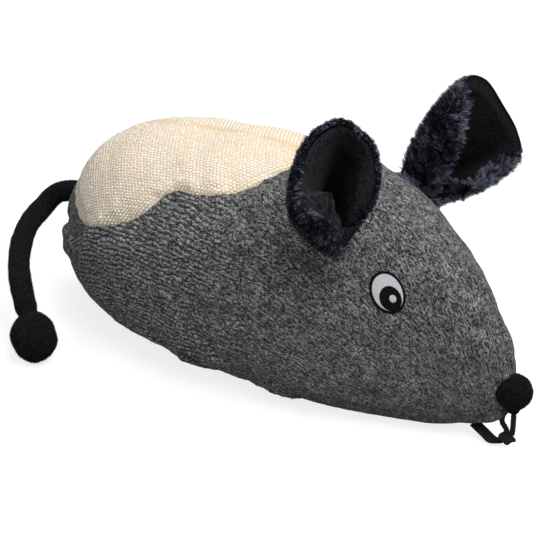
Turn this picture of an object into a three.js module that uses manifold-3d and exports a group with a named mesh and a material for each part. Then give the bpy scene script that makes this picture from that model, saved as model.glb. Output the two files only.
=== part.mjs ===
// A stuffed mouse toy for cats, lying on its belly.
// Frame: origin on the floor under the middle of the body, +X to the nose, +Y to the
// mouse's left side, +Z up. Millimetres.
import * as THREE from 'three';
import { mergeVertices } from 'three/addons/utils/BufferGeometryUtils.js';
import Module from 'manifold-3d';

const wasm = await Module();
wasm.setup();

// Driving sizes of the body
const BODY_LENGTH = 420;
const BODY_WIDTH = 184;
const BODY_HEIGHT = 179;
const PANEL_THICKNESS = 3;
const SEAM_GAP = 0.4;
const TOUCH_GAP = 0.3;
const BELLY_PRESS_DEPTH = 0.8;
const OVERRUN = 6;

// Eyes
const EYE_LENGTH = 29.4;
const EYE_WIDTH = 25.4;
const EYE_THICKNESS = 1;
const EYE_OUTLINE_WIDTH = 1.6;
const PUPIL_LENGTH = 15;
const PUPIL_WIDTH = 14;
const GLINT_DIAMETER = 5.8;

// Ears
const RIGHT_EAR_HEIGHT = 98.7;
const LEFT_EAR_HEIGHT = 90;
const EAR_REACH = 75;
const EAR_DEPTH = 40.6;
const EAR_BASE_LENGTH = 40;
const EAR_BASE_WIDTH = 16;
const EAR_FOOT_WIDTH = 11;
const EAR_HINGE_HEIGHT = 12.5;
const EAR_HINGE_RADIUS = 10;
const EAR_BULGE = 13;
const FUR_THICKNESS = 4.5;
const FUR_FOOT_THICKNESS = 2.2;
const LINING_THICKNESS = 1.2;

// Nose ball and the loop under it
const NOSE_OVERHANG = 1.6;
const NOSE_Z = 46.6;
const NOSE_RADIUS = 13.2;
const NOSE_NECK_RADIUS = 4;
const NOSE_NECK_LENGTH = 3.6;
const FLEECE_THICKNESS = 1.5;
const TIE_RADIUS = 1.2;
const LOOP_CHIN_SETBACK = 32.6;
const LOOP_LOW_SETBACK = 16.6;
const LOOP_LOW_Z = 1.2;
const LOOP_KNOT_SETBACK = 5.1;
const LOOP_KNOT_Z = 7.5;
const LOOP_WIDTH = 9.5;
const LOOP_THICKNESS = 1.2;
const KNOT_RADIUS = 4.4;
const STRAND_RADIUS = 1.3;
const STRAND_SPREAD = 5.2;

// Tail and its ball
const TAIL_ROOT_Z = 78;
const TAIL_RADIUS = 8.75;
const TAIL_LENGTH = 200;
const TAIL_STUB = 12;
const TAIL_JOINT_GAP = 0.8;
const TAIL_BALL_LENGTH = 40.4;
const TAIL_BALL_WIDTH = 36.2;
const TAIL_BALL_NECK = 1.5;

// How finely round forms are divided
const BODY_STATIONS = 26;
const PATCH_COLUMNS = 5;
const FLANK_COLUMNS = 8;
const BELLY_COLUMNS = 3;
const EAR_ROWS = 8;
const EAR_COLUMNS = 18;
const FOOT_COLUMNS = 8;
const ROUND_SIDES = 14;
const BALL_SIDES = 18;
const EYE_SIDES = 18;
const STRAND_SIDES = 8;
const STRAND_STEPS = 5;
const ARC_STEPS = 10;
const DOME_STEPS = 3;
const TIE_SIDES = 6;
const TAPE_ROWS = 12;
const HALVINGS = 40;

// Seams, eyes and ears along the body, as shares of half its length from the middle
const RUMP_SEAM_SHARE = -0.81905;
const PATCH_TIP_SHARE = 0.18;
const PATCH_CUSP_SHARE = -0.23333;
const EYE_PLACE_SHARE = 0.63143;
const EAR_PLACE_SHARE = 0.425714285714286;

// The body's outline as shares: half widths of BODY_WIDTH / 2, and rises and heights of
// BODY_HEIGHT, at even steps from rump to nose.
const HALF_WIDTH_SHARES = [0.905, 0.956, 1.02, 0.886, 0.493, 0.274];
const RISE_SHARES = [0.644, 0.616, 0.526, 0.55, 0.474, 0.281];
const WAIST_SHARES = [0.2611, 0.4573, 0.3017];
const END_ROUNDNESS = { rump: 2.24, nose: 2.29, belly: 4 };
const SECTION_ROUNDNESS = { back: 1.98, belly: 2.8 };

// Seams: [place along half the length, share of the half turn from spine to belly middle],
// with the places as they are before the rump seam's slant
const PATCH_EDGE_SHARES = [
  [-0.819, 0.405], [-0.781, 0.414], [-0.708, 0.413], [-0.621, 0.402], [-0.489, 0.377],
  [-0.406, 0.352], [-0.351, 0.325], [-0.317, 0.299], [-0.28, 0.26], [-0.2333, 0.236],
  [-0.165, 0.24], [-0.073, 0.232], [-0.002, 0.211], [0.042, 0.186], [0.086, 0.134],
  [0.13, 0.075], [0.18, 0.02],
];
const BELLY_EDGE_SHARES = [
  [-1, 0.62], [-0.773, 0.697], [-0.677, 0.724], [-0.55, 0.744], [-0.351, 0.762],
  [0, 0.785], [0.588, 0.81], [1, 0.82],
];

// The rump seam's slant: [share of the half turn from spine to belly middle, its place]
const RUMP_SLANT_SHARES = [
  [0, -0.935], [0.1, -0.93], [0.2, -0.913], [0.258, -0.889], [0.299, -0.862],
  [0.353, -0.806], [0.405, -0.735], [0.45, -0.725], [0.55, -0.765], [0.65, -0.819], [1, -0.819],
];

// The ear's rim from its outer front corner round the top to its inner front corner, as
// shares of depth (forward), reach (outward) and height
const EAR_RIM_SHARES = [
  [0.3, 0.19, 0.1], [0.74, 0.4, 0.085], [1, 0.867, 0.243], [0.74, 1, 0.405],
  [0.478, 0.96, 0.598], [0.443, 0.667, 0.892], [0.561, 0.284, 1], [0.788, 0.027, 0.831],
  [0.832, -0.08, 0.557], [0.616, -0.1, 0.284], [0.3, -0.08, 0.1],
];
const EAR_MOUTH_SHARES = [0.862, 0.541, 0.633];
const EAR_ANGLE_SHARE = 0.246;
const EAR_FOOT_TURN_SHARE = 0.72;

const EYE_ANGLE_SHARE = 0.336;
const EYE_TILT_SHARE = 0.232;
const PUPIL_OFFSET_SHARES = [0.123, 0.11];
const GLINT_OFFSET_SHARES = [0.104, 0.176];

// The tape narrows to these shares of its width at the chin and at the knot
const TAPE_END_SHARES = [0.28, 0.63];
const KNOT_HEIGHT_SHARE = 0.8;

const TAIL_ROOT_X_SHARE = 0.986;
const DOME_TURN_SHARE = 0.72;

// The tail's route from its root, as shares of its length
const TAIL_ROUTE_SHARES = [
  [0, 0, 0], [-0.09, 0, 0], [-0.145, -0.04, -0.0175], [-0.16, -0.1, -0.06],
  [-0.12, -0.21, -0.0775], [-0.06, -0.31, -0.105], [0.015, -0.4, -0.1375],
  [0.105, -0.48, -0.168], [0.19, -0.54, -0.205], [0.25, -0.58, -0.235], [0.32, -0.62, -0.29],
];

const finish = {
  knit: new THREE.MeshStandardMaterial({ color: 0x505052, roughness: 0.95, metalness: 0 }),
  sisal: new THREE.MeshStandardMaterial({ color: 0xe6dac4, roughness: 0.9, metalness: 0 }),
  fur: new THREE.MeshStandardMaterial({ color: 0x17181f, roughness: 0.9, metalness: 0 }),
  lining: new THREE.MeshStandardMaterial({ color: 0x1d1d1e, roughness: 0.95, metalness: 0 }),
  fleece: new THREE.MeshStandardMaterial({ color: 0x141416, roughness: 0.95, metalness: 0 }),
  tape: new THREE.MeshStandardMaterial({ color: 0x26262b, roughness: 0.85, metalness: 0 }),
  thread: new THREE.MeshStandardMaterial({ color: 0x101012, roughness: 0.7, metalness: 0 }),
  white: new THREE.MeshStandardMaterial({ color: 0xbfbfc5, roughness: 0.8, metalness: 0 }),
  stuffing: new THREE.MeshStandardMaterial({ color: 0xe8e8e6, roughness: 1, metalness: 0 }),
};

const toy = new THREE.Group();

function add(name, geometry, material) {
  const mesh = new THREE.Mesh(geometry, material);
  mesh.name = name;
  toy.add(mesh);
}

// Closed meshes from triangles, and joining and cutting of solids

function geometryOf(triangles) {
  const flat = new Float32Array(triangles.length * 3);
  triangles.forEach((corner, i) => corner.toArray(flat, i * 3));
  const geometry = new THREE.BufferGeometry();
  geometry.setAttribute('position', new THREE.BufferAttribute(flat, 3));
  return weld(geometry);
}

function weld(source) {
  const bare = new THREE.BufferGeometry();
  bare.setAttribute('position', source.getAttribute('position'));
  if (source.index) bare.setIndex(source.index);
  const merged = mergeVertices(bare);
  const index = merged.index.array;
  const kept = [];
  for (let i = 0; i < index.length; i += 3) {
    const [a, b, c] = [index[i], index[i + 1], index[i + 2]];
    if (a !== b && b !== c && c !== a) kept.push(a, b, c);
  }
  merged.setIndex(kept);
  return volumeOf(merged) < 0 ? turnedInsideOut(merged) : merged;
}

function volumeOf(geometry) {
  const at = geometry.getAttribute('position');
  const index = geometry.index.array;
  const [a, b, c] = [new THREE.Vector3(), new THREE.Vector3(), new THREE.Vector3()];
  let six = 0;
  for (let i = 0; i < index.length; i += 3) {
    a.fromBufferAttribute(at, index[i]);
    b.fromBufferAttribute(at, index[i + 1]);
    c.fromBufferAttribute(at, index[i + 2]);
    six += a.dot(b.cross(c));
  }
  return six / 6;
}

function turnedInsideOut(geometry) {
  const index = geometry.index.array.slice();
  for (let i = 0; i < index.length; i += 3) {
    const first = index[i];
    index[i] = index[i + 1];
    index[i + 1] = first;
  }
  geometry.setIndex(new THREE.BufferAttribute(index, 1));
  return geometry;
}

function solidOf(geometry) {
  const welded = weld(geometry);
  return new wasm.Manifold(new wasm.Mesh({
    numProp: 3,
    vertProperties: new Float32Array(welded.getAttribute('position').array),
    triVerts: new Uint32Array(welded.index.array),
  }));
}

function geometryFromSolid(solid) {
  const mesh = solid.getMesh();
  const geometry = new THREE.BufferGeometry();
  geometry.setAttribute('position', new THREE.BufferAttribute(mesh.vertProperties, 3));
  geometry.setIndex(new THREE.BufferAttribute(mesh.triVerts, 1));
  return geometry;
}

function cut(geometry, ...cutters) {
  let solid = solidOf(geometry);
  for (const cutter of cutters) solid = solid.subtract(solidOf(cutter));
  return geometryFromSolid(solid);
}

function mirrored(corners) {
  return corners.map((p) => new THREE.Vector3(p.x, -p.y, p.z));
}

// Triangles of a grid of points; the mirrored half keeps the same diagonals.
function skin(grid) {
  const out = [];
  for (let i = 0; i + 1 < grid.length; i += 1) {
    for (let j = 0; j + 1 < grid[i].length; j += 1) {
      const [a, b, c, d] = [grid[i][j], grid[i + 1][j], grid[i + 1][j + 1], grid[i][j + 1]];
      out.push(a, b, c, a, c, d);
    }
  }
  return out;
}

function reversed(corners) {
  const out = [];
  for (let i = 0; i < corners.length; i += 3) out.push(corners[i + 1], corners[i], corners[i + 2]);
  return out;
}

// A sheet between two grids, with the walls that are asked for along its four edges
function sheet(outer, inner, walls = { start: true, end: true, first: true, last: true }) {
  const out = [...skin(outer), ...reversed(skin(inner))];
  const last = outer.length - 1;
  const edge = outer[0].length - 1;
  if (walls.start) out.push(...skin([inner[0], outer[0]]));
  if (walls.end) out.push(...skin([outer[last], inner[last]]));
  if (walls.first) out.push(...skin([outer.map((row) => row[0]), inner.map((row) => row[0])]));
  if (walls.last) out.push(...skin([inner.map((row) => row[edge]), outer.map((row) => row[edge])]));
  return out;
}

// The body's surface

function smoothShare(shares, t) {
  const n = shares.length - 1;
  const slope = (i) => (shares[Math.min(i + 1, n)] - shares[Math.max(i - 1, 0)])
    / (i > 0 && i < n ? 2 : 1);
  const i = Math.min(Math.floor(t * n), n - 1);
  const f = t * n - i;
  return (2 * f ** 3 - 3 * f ** 2 + 1) * shares[i] + (f ** 3 - 2 * f ** 2 + f) * slope(i)
    + (3 * f ** 2 - 2 * f ** 3) * shares[i + 1] + (f ** 3 - f ** 2) * slope(i + 1);
}

function parabolaShare([a, b, c], t) {
  return a + t * (4 * b - 3 * a - c) + t * t * (2 * a + 2 * c - 4 * b);
}

function stationAt(placeShare) {
  return Math.acos(-placeShare) / Math.PI;
}

function placeAt(t) {
  return -Math.cos(Math.PI * t);
}

function tableShare(table, place) {
  const after = table.findIndex(([at]) => at >= place);
  if (after === 0) return table[0][1];
  if (after < 0) return table[table.length - 1][1];
  const [[x0, y0], [x1, y1]] = [table[after - 1], table[after]];
  return y0 + (y1 - y0) * (place - x0) / (x1 - x0);
}

// A point of the skin at a station (0 rump pole, 1 nose pole) and an angle from the spine
function skinPoint(t, angle) {
  const along = Math.abs(placeAt(t));
  const round = t < 0.5 ? END_ROUNDNESS.rump : END_ROUNDNESS.nose;
  const swell = (1 - along ** round) ** (1 / round);
  const half = swell * smoothShare(HALF_WIDTH_SHARES, t) * BODY_WIDTH / 2;
  const rise = swell * smoothShare(RISE_SHARES, t) * BODY_HEIGHT;
  const waist = parabolaShare(WAIST_SHARES, t) * BODY_HEIGHT;
  const drop = waist * (1 - along ** END_ROUNDNESS.belly) ** (1 / END_ROUNDNESS.belly);
  const [c, s] = [Math.cos(angle), Math.sin(angle)];
  const power = 2 / (c > 0 ? SECTION_ROUNDNESS.back : SECTION_ROUNDNESS.belly);
  return new THREE.Vector3(
    placeAt(t) * BODY_LENGTH / 2,
    half * Math.sign(s) * Math.abs(s) ** power,
    waist + (c > 0 ? rise : -drop) * Math.abs(c) ** power - BELLY_PRESS_DEPTH,
  );
}

const SMALL_STEP = 0.002;

function skinFrame(t, angle) {
  const inside = THREE.MathUtils.clamp(t, SMALL_STEP * 2, 1 - SMALL_STEP * 2);
  const along = skinPoint(inside + SMALL_STEP, angle).sub(skinPoint(inside - SMALL_STEP, angle));
  const round = skinPoint(inside, angle + SMALL_STEP).sub(skinPoint(inside, angle - SMALL_STEP));
  const forward = along.clone().normalize();
  const outward = along.clone().cross(round).normalize();
  return { forward, outward, side: outward.clone().cross(forward), turn: round.length() / SMALL_STEP / 2 };
}

function liftedPoint(t, angle, lift) {
  const { outward } = skinFrame(t, angle);
  const point = skinPoint(t, angle);
  const onMidPlane = Math.abs(Math.sin(angle)) < Number.EPSILON * 8;
  if (t === 0 || t === 1) outward.set(t === 0 ? -1 : 1, 0, 0);
  if (onMidPlane) outward.setY(0).normalize();
  if (onMidPlane) point.setY(0);
  return point.addScaledVector(outward, lift);
}

const CLOSE_STATION_SHARE = 0.3;
const RUMP_SEAM = stationAt(RUMP_SEAM_SHARE);
const PATCH_TIP = stationAt(PATCH_TIP_SHARE);
const SLANT_END = stationAt(PATCH_CUSP_SHARE);
const RUMP_SEAM_STEP = SEAM_GAP / BODY_LENGTH / Math.sin(Math.PI * RUMP_SEAM);
const PATCH_SEAM_STEP = SEAM_GAP / BODY_LENGTH / Math.sin(Math.PI * PATCH_TIP);

function stations() {
  const fixed = [RUMP_SEAM, PATCH_TIP, SLANT_END];
  const even = Array.from({ length: BODY_STATIONS + 1 }, (_, i) => i / BODY_STATIONS);
  const free = even.filter((t) => fixed.every((f) => Math.abs(f - t) > CLOSE_STATION_SHARE / BODY_STATIONS));
  const seams = [
    RUMP_SEAM - RUMP_SEAM_STEP, RUMP_SEAM + RUMP_SEAM_STEP,
    PATCH_TIP - PATCH_SEAM_STEP, PATCH_TIP + PATCH_SEAM_STEP, SLANT_END,
  ];
  return [...free, ...seams].sort((a, b) => a - b);
}

const STATIONS = stations();

function patchEdge(t) {
  const held = Math.max(t, RUMP_SEAM);
  return held < PATCH_TIP ? tableShare(PATCH_EDGE_SHARES, placeAt(held)) * Math.PI : 0;
}

function bellyEdge(t) {
  return tableShare(BELLY_EDGE_SHARES, placeAt(Math.max(t, RUMP_SEAM))) * Math.PI;
}

// Where a station lies at an angle: near the rump seam the stations slant with it
function slanted(t, angle) {
  const seam = stationAt(tableShare(RUMP_SLANT_SHARES, angle / Math.PI));
  if (t <= RUMP_SEAM) return t * seam / RUMP_SEAM;
  const left = Math.max(0, (SLANT_END - t) / (SLANT_END - RUMP_SEAM));
  return t + (seam - RUMP_SEAM) * left ** 2;
}

// The angles of a station's columns, from the spine to the middle of the belly
function stationAngles(t) {
  const seams = [0, patchEdge(t), bellyEdge(t), Math.PI];
  const counts = [PATCH_COLUMNS, FLANK_COLUMNS, BELLY_COLUMNS];
  const angles = [0];
  counts.forEach((count, k) => {
    for (let j = 1; j <= count; j += 1) {
      angles.push(seams[k] + (seams[k + 1] - seams[k]) * j / count);
    }
  });
  return angles;
}

const PATCH_END = PATCH_COLUMNS;
const FLANK_END = PATCH_COLUMNS + FLANK_COLUMNS;
const BELLY_END = FLANK_END + BELLY_COLUMNS;

// The half skin's points between two stations and two columns, its seam edges drawn back
function halfGrid(from, to, firstColumn, lastColumn, lift, drawn = [false, false]) {
  return STATIONS.filter((t) => t >= from && t <= to).map((t) => {
    const angles = stationAngles(t).slice(firstColumn, lastColumn + 1);
    const back = (angle) => (
      SEAM_GAP / 2 / Math.max(skinFrame(slanted(t, angle), angle).turn, SEAM_GAP)
    );
    if (drawn[0]) angles[0] += back(angles[0]);
    if (drawn[1]) angles[angles.length - 1] -= back(angles[angles.length - 1]);
    return angles.map((angle) => liftedPoint(slanted(t, angle), angle, lift));
  });
}

function panel(from, to, firstColumn, lastColumn, drawn, walls) {
  const outer = halfGrid(from, to, firstColumn, lastColumn, 0, drawn);
  const inner = halfGrid(from, to, firstColumn, lastColumn, -PANEL_THICKNESS, drawn);
  return sheet(outer, inner, walls);
}

function wholeBody(lift) {
  const half = skin(halfGrid(0, 1, 0, BELLY_END, lift));
  return geometryOf([...half, ...reversed(mirrored(half))]);
}

const NOSE_CENTRE = new THREE.Vector3(BODY_LENGTH / 2 + NOSE_OVERHANG, 0, NOSE_Z);

// The dimple in the snout that the nose ball and its neck sit in
function noseDimple() {
  const flats = Math.cos(Math.PI / BALL_SIDES);
  const ball = new THREE.SphereGeometry(NOSE_RADIUS / flats + TOUCH_GAP, BALL_SIDES, BALL_SIDES / 2);
  const neckRoom = (NOSE_NECK_RADIUS + 2 * TIE_RADIUS) / flats + 2 * TOUCH_GAP;
  const deep = NOSE_RADIUS + NOSE_NECK_LENGTH + TOUCH_GAP;
  const neck = new THREE.CylinderGeometry(neckRoom, neckRoom, deep, BALL_SIDES).rotateX(Math.PI / 2);
  neck.translate(NOSE_CENTRE.x, NOSE_CENTRE.y, NOSE_CENTRE.z - deep / 2);
  return [ball.translate(NOSE_CENTRE.x, NOSE_CENTRE.y, NOSE_CENTRE.z), neck];
}

function buildBody() {
  const dimple = noseDimple();
  add('stuffing_core', cut(wholeBody(-PANEL_THICKNESS - TOUCH_GAP), ...dimple), finish.stuffing);

  const rump = panel(0, RUMP_SEAM, 0, BELLY_END, [false, false], { end: true });
  add('rump_panel', geometryOf([...rump, ...reversed(mirrored(rump))]), finish.knit);

  const walls = { start: true, end: true, first: true, last: true };
  const patch = panel(RUMP_SEAM, PATCH_TIP, 0, PATCH_END, [true, true], walls);
  add('scratch_panel_left', geometryOf(patch), finish.sisal);
  add('scratch_panel_right', geometryOf(reversed(mirrored(patch))), finish.sisal);

  const flank = panel(RUMP_SEAM, 1, PATCH_END, FLANK_END, [true, true], walls);
  add('side_panel_left', cut(geometryOf(flank), ...dimple), finish.knit);
  add('side_panel_right', cut(geometryOf(reversed(mirrored(flank))), ...dimple), finish.knit);

  const belly = panel(RUMP_SEAM, 1, FLANK_END, BELLY_END, [true, false],
    { start: true, end: true, first: true });
  const whole = geometryOf([...belly, ...reversed(mirrored(belly))]);
  const floor = new THREE.BoxGeometry(BODY_LENGTH, BODY_WIDTH, OVERRUN).translate(0, 0, -OVERRUN / 2);
  add('belly_panel', cut(whole, floor, ...dimple), finish.knit);
}

// Eyes: flat embroidered rings laid on the skin

function eyeLoop(length, width, [shiftAlong, shiftAcross]) {
  const tilt = EYE_TILT_SHARE * Math.PI;
  return (turn) => {
    const [u, v] = [Math.cos(turn) * length / 2, Math.sin(turn) * width / 2];
    return [
      u * Math.cos(tilt) - v * Math.sin(tilt) + shiftAlong,
      u * Math.sin(tilt) + v * Math.cos(tilt) + shiftAcross,
    ];
  };
}

function eyeRing(inner, outer, rows) {
  const angle = EYE_ANGLE_SHARE * Math.PI;
  const station = stationAt(EYE_PLACE_SHARE);
  const frame = skinFrame(station, angle);
  const perStation = skinPoint(station + SMALL_STEP, angle)
    .distanceTo(skinPoint(station, angle)) / SMALL_STEP;
  const grid = (lift) => Array.from({ length: rows + 1 }, (_, i) => (
    Array.from({ length: EYE_SIDES + 1 }, (__, j) => {
      const turn = (j % EYE_SIDES) * 2 * Math.PI / EYE_SIDES;
      const [a, b] = [inner(turn), outer(turn)];
      const [down, along] = [0, 1].map((k) => a[k] + (b[k] - a[k]) * i / rows);
      return liftedPoint(station + along / perStation, angle + down / frame.turn, lift);
    })
  ));
  const rings = grid(TOUCH_GAP + EYE_THICKNESS);
  return sheet(rings, grid(TOUCH_GAP), { start: true, end: true });
}

function buildEyes() {
  const centre = [0, 0];
  const pupilShift = PUPIL_OFFSET_SHARES.map((share) => share * EYE_WIDTH);
  const glintShift = GLINT_OFFSET_SHARES.map((share) => share * EYE_WIDTH);
  const loop = (length, width, shift, less = 0) => eyeLoop(length - less, width - less, shift);
  const edge = 2 * EYE_OUTLINE_WIDTH;
  const gap = 2 * SEAM_GAP;
  const rings = {
    eye_outline: [loop(EYE_LENGTH, EYE_WIDTH, centre, edge), loop(EYE_LENGTH, EYE_WIDTH, centre), 1],
    eye_white: [
      loop(PUPIL_LENGTH, PUPIL_WIDTH, pupilShift, -gap),
      loop(EYE_LENGTH, EYE_WIDTH, centre, edge + gap), 2,
    ],
    eye_pupil: [
      loop(GLINT_DIAMETER, GLINT_DIAMETER, glintShift, -gap),
      loop(PUPIL_LENGTH, PUPIL_WIDTH, pupilShift), 1,
    ],
    eye_glint: [() => glintShift, loop(GLINT_DIAMETER, GLINT_DIAMETER, glintShift), 1],
  };
  for (const [name, [inner, outer, rows]] of Object.entries(rings)) {
    const material = name === 'eye_outline' || name === 'eye_pupil' ? finish.thread : finish.white;
    const ring = eyeRing(inner, outer, rows);
    add(`${name}_left`, geometryOf(ring), material);
    add(`${name}_right`, geometryOf(reversed(mirrored(ring))), material);
  }
}

// Ears: a folded leaf of fur with a fleece lining, standing on a pleated foot

function earFrame() {
  const [station, angle] = [stationAt(EAR_PLACE_SHARE), EAR_ANGLE_SHARE * Math.PI];
  const { forward, outward, side } = skinFrame(station, angle);
  const down = side.y < 0 ? side.negate() : side;
  return { base: skinPoint(station, angle), forward, outward, down };
}

const EAR = earFrame();

function earFootPoint(a, b, radius) {
  return EAR.base.clone()
    .addScaledVector(EAR.forward, a)
    .addScaledVector(EAR.down, b)
    .addScaledVector(EAR.outward, EAR_HINGE_HEIGHT - Math.sqrt(radius ** 2 - b ** 2));
}

function earSheet(height) {
  const sized = ([x, y, z]) => EAR.base.clone()
    .add(new THREE.Vector3(x * EAR_DEPTH, y * EAR_REACH, z * height));
  const rim = new THREE.CatmullRomCurve3(EAR_RIM_SHARES.map(sized));
  const mouth = sized(EAR_MOUTH_SHARES);
  const axis = mouth.clone().sub(EAR.base).normalize();
  const foot = (s) => {
    const turn = (2 * s - 1) * EAR_FOOT_TURN_SHARE * Math.PI;
    return [-Math.cos(turn) * EAR_BASE_LENGTH / 2, -Math.sin(turn) * EAR_BASE_WIDTH / 2];
  };
  const outerPoint = (s, r) => {
    const [a, b] = foot(s);
    const low = earFootPoint(a, b, EAR_HINGE_RADIUS);
    const high = rim.getPoint(s);
    const middle = low.clone().add(high).multiplyScalar(0.5);
    const onAxis = EAR.base.clone().addScaledVector(axis, middle.clone().sub(EAR.base).dot(axis));
    const away = middle.clone().sub(onAxis).normalize();
    const bulge = EAR_BULGE * low.distanceTo(high) / height;
    middle.addScaledVector(away, bulge);
    return new THREE.QuadraticBezierCurve3(low, middle, high).getPoint(r);
  };
  const inwardAt = (s) => {
    const inS = THREE.MathUtils.clamp(s, SMALL_STEP, 1 - SMALL_STEP);
    const alongRim = outerPoint(inS + SMALL_STEP, 1).sub(outerPoint(inS - SMALL_STEP, 1));
    const upRib = outerPoint(inS, 1).sub(outerPoint(inS, 1 - SMALL_STEP));
    const normal = alongRim.cross(upRib).normalize();
    return normal.dot(mouth.clone().sub(outerPoint(inS, 0.9))) < 0 ? normal.negate() : normal;
  };
  const footInward = (s) => {
    const [a, b] = foot(s);
    return new THREE.Vector3()
      .addScaledVector(EAR.forward, -a * EAR_BASE_WIDTH / EAR_BASE_LENGTH)
      .addScaledVector(EAR.down, -b).normalize();
  };
  return (footDepth, rimDepth) => (
    Array.from({ length: EAR_ROWS + 1 }, (_, i) => (
      Array.from({ length: EAR_COLUMNS + 1 }, (__, j) => {
        const [r, s] = [i / EAR_ROWS, j / EAR_COLUMNS];
        const depth = footDepth + (rimDepth - footDepth) * Math.min(r * 2, 1);
        const inward = footInward(s).multiplyScalar(1 - r).addScaledVector(inwardAt(s), r);
        return outerPoint(s, r).addScaledVector(inward.normalize(), depth);
      })
    ))
  );
}

// The sewn foot of the ear: its top is a round trough that the ear turns in
function earFoot() {
  const grid = (drop) => Array.from({ length: 2 }, (_, i) => (
    Array.from({ length: FOOT_COLUMNS + 1 }, (__, j) => {
      const a = EAR_BASE_LENGTH * (i - 0.5);
      const b = EAR_FOOT_WIDTH * (j / FOOT_COLUMNS - 0.5);
      return earFootPoint(a, b, EAR_HINGE_RADIUS + 2 * TOUCH_GAP).addScaledVector(EAR.outward, -drop);
    })
  ));
  return cut(geometryOf(sheet(grid(0), grid(EAR_HINGE_HEIGHT))), wholeBody(TOUCH_GAP));
}

function buildEars() {
  const foot = earFoot();
  const other = foot.clone().scale(1, -1, 1);
  add('ear_foot_left', foot, finish.fur);
  add('ear_foot_right', weld(other), finish.fur);
  for (const [side, height] of [['left', LEFT_EAR_HEIGHT], ['right', RIGHT_EAR_HEIGHT]]) {
    const layer = earSheet(height);
    const fur = sheet(layer(0, 0), layer(FUR_FOOT_THICKNESS, FUR_THICKNESS));
    const under = [FUR_FOOT_THICKNESS + TOUCH_GAP, FUR_THICKNESS + TOUCH_GAP];
    const lining = sheet(layer(...under), layer(...under.map((depth) => depth + LINING_THICKNESS)));
    const placed = (corners) => geometryOf(side === 'left' ? corners : reversed(mirrored(corners)));
    add(`ear_back_${side}`, placed(fur), finish.fur);
    add(`ear_lining_${side}`, placed(lining), finish.lining);
  }
}

// Round pieces: profiles of [radius, place] turned about an axis that may be bent

function arc(centre, radius, from, to, steps, stretch = 1) {
  return Array.from({ length: steps + 1 }, (_, i) => {
    const angle = from + (to - from) * i / steps;
    return [radius * Math.cos(angle), centre + radius * stretch * Math.sin(angle)];
  });
}

function turned(profile, sides) {
  return new THREE.LatheGeometry(profile.map(([r, s]) => new THREE.Vector2(Math.max(r, 0), s)), sides);
}

function ring(atRadius, thickRadius, sides) {
  const section = Array.from({ length: TIE_SIDES + 1 }, (_, i) => {
    const angle = i * 2 * Math.PI / TIE_SIDES;
    return [atRadius + thickRadius * Math.cos(angle), thickRadius * Math.sin(angle)];
  });
  return turned(section, sides);
}

// Nose: a stuffed ball gathered and tied at a short neck that points down

function buildNose() {
  const neckAngle = Math.acos(NOSE_NECK_RADIUS / NOSE_RADIUS);
  const hollow = NOSE_RADIUS - FLEECE_THICKNESS;
  const mouth = NOSE_NECK_RADIUS - FLEECE_THICKNESS;
  const neckEnd = -NOSE_RADIUS * Math.sin(neckAngle) - NOSE_NECK_LENGTH;
  const cover = turned([
    ...arc(0, NOSE_RADIUS, Math.PI / 2, -neckAngle, ARC_STEPS + 2),
    [NOSE_NECK_RADIUS, neckEnd], [mouth, neckEnd],
    ...arc(0, hollow, -Math.acos(mouth / hollow), Math.PI / 2, ARC_STEPS),
  ], BALL_SIDES);
  const stuffed = hollow - TOUCH_GAP;
  const filling = turned(arc(0, stuffed, -Math.PI / 2, Math.PI / 2, ARC_STEPS), BALL_SIDES);
  const tie = ring(NOSE_NECK_RADIUS + TIE_RADIUS + TOUCH_GAP, TIE_RADIUS, BALL_SIDES)
    .translate(0, neckEnd + NOSE_NECK_LENGTH / 2, 0);
  const stand = (geometry) => geometry.rotateX(Math.PI / 2)
    .translate(NOSE_CENTRE.x, NOSE_CENTRE.y, NOSE_CENTRE.z);
  add('nose_cover', weld(stand(cover)), finish.fleece);
  add('nose_filling', weld(stand(filling)), finish.stuffing);
  add('nose_tie', weld(stand(tie)), finish.thread);
  return NOSE_CENTRE.z + neckEnd;
}

// Loop: a flat tape from the chin to a knot at the floor, and two strands up to the nose

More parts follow.
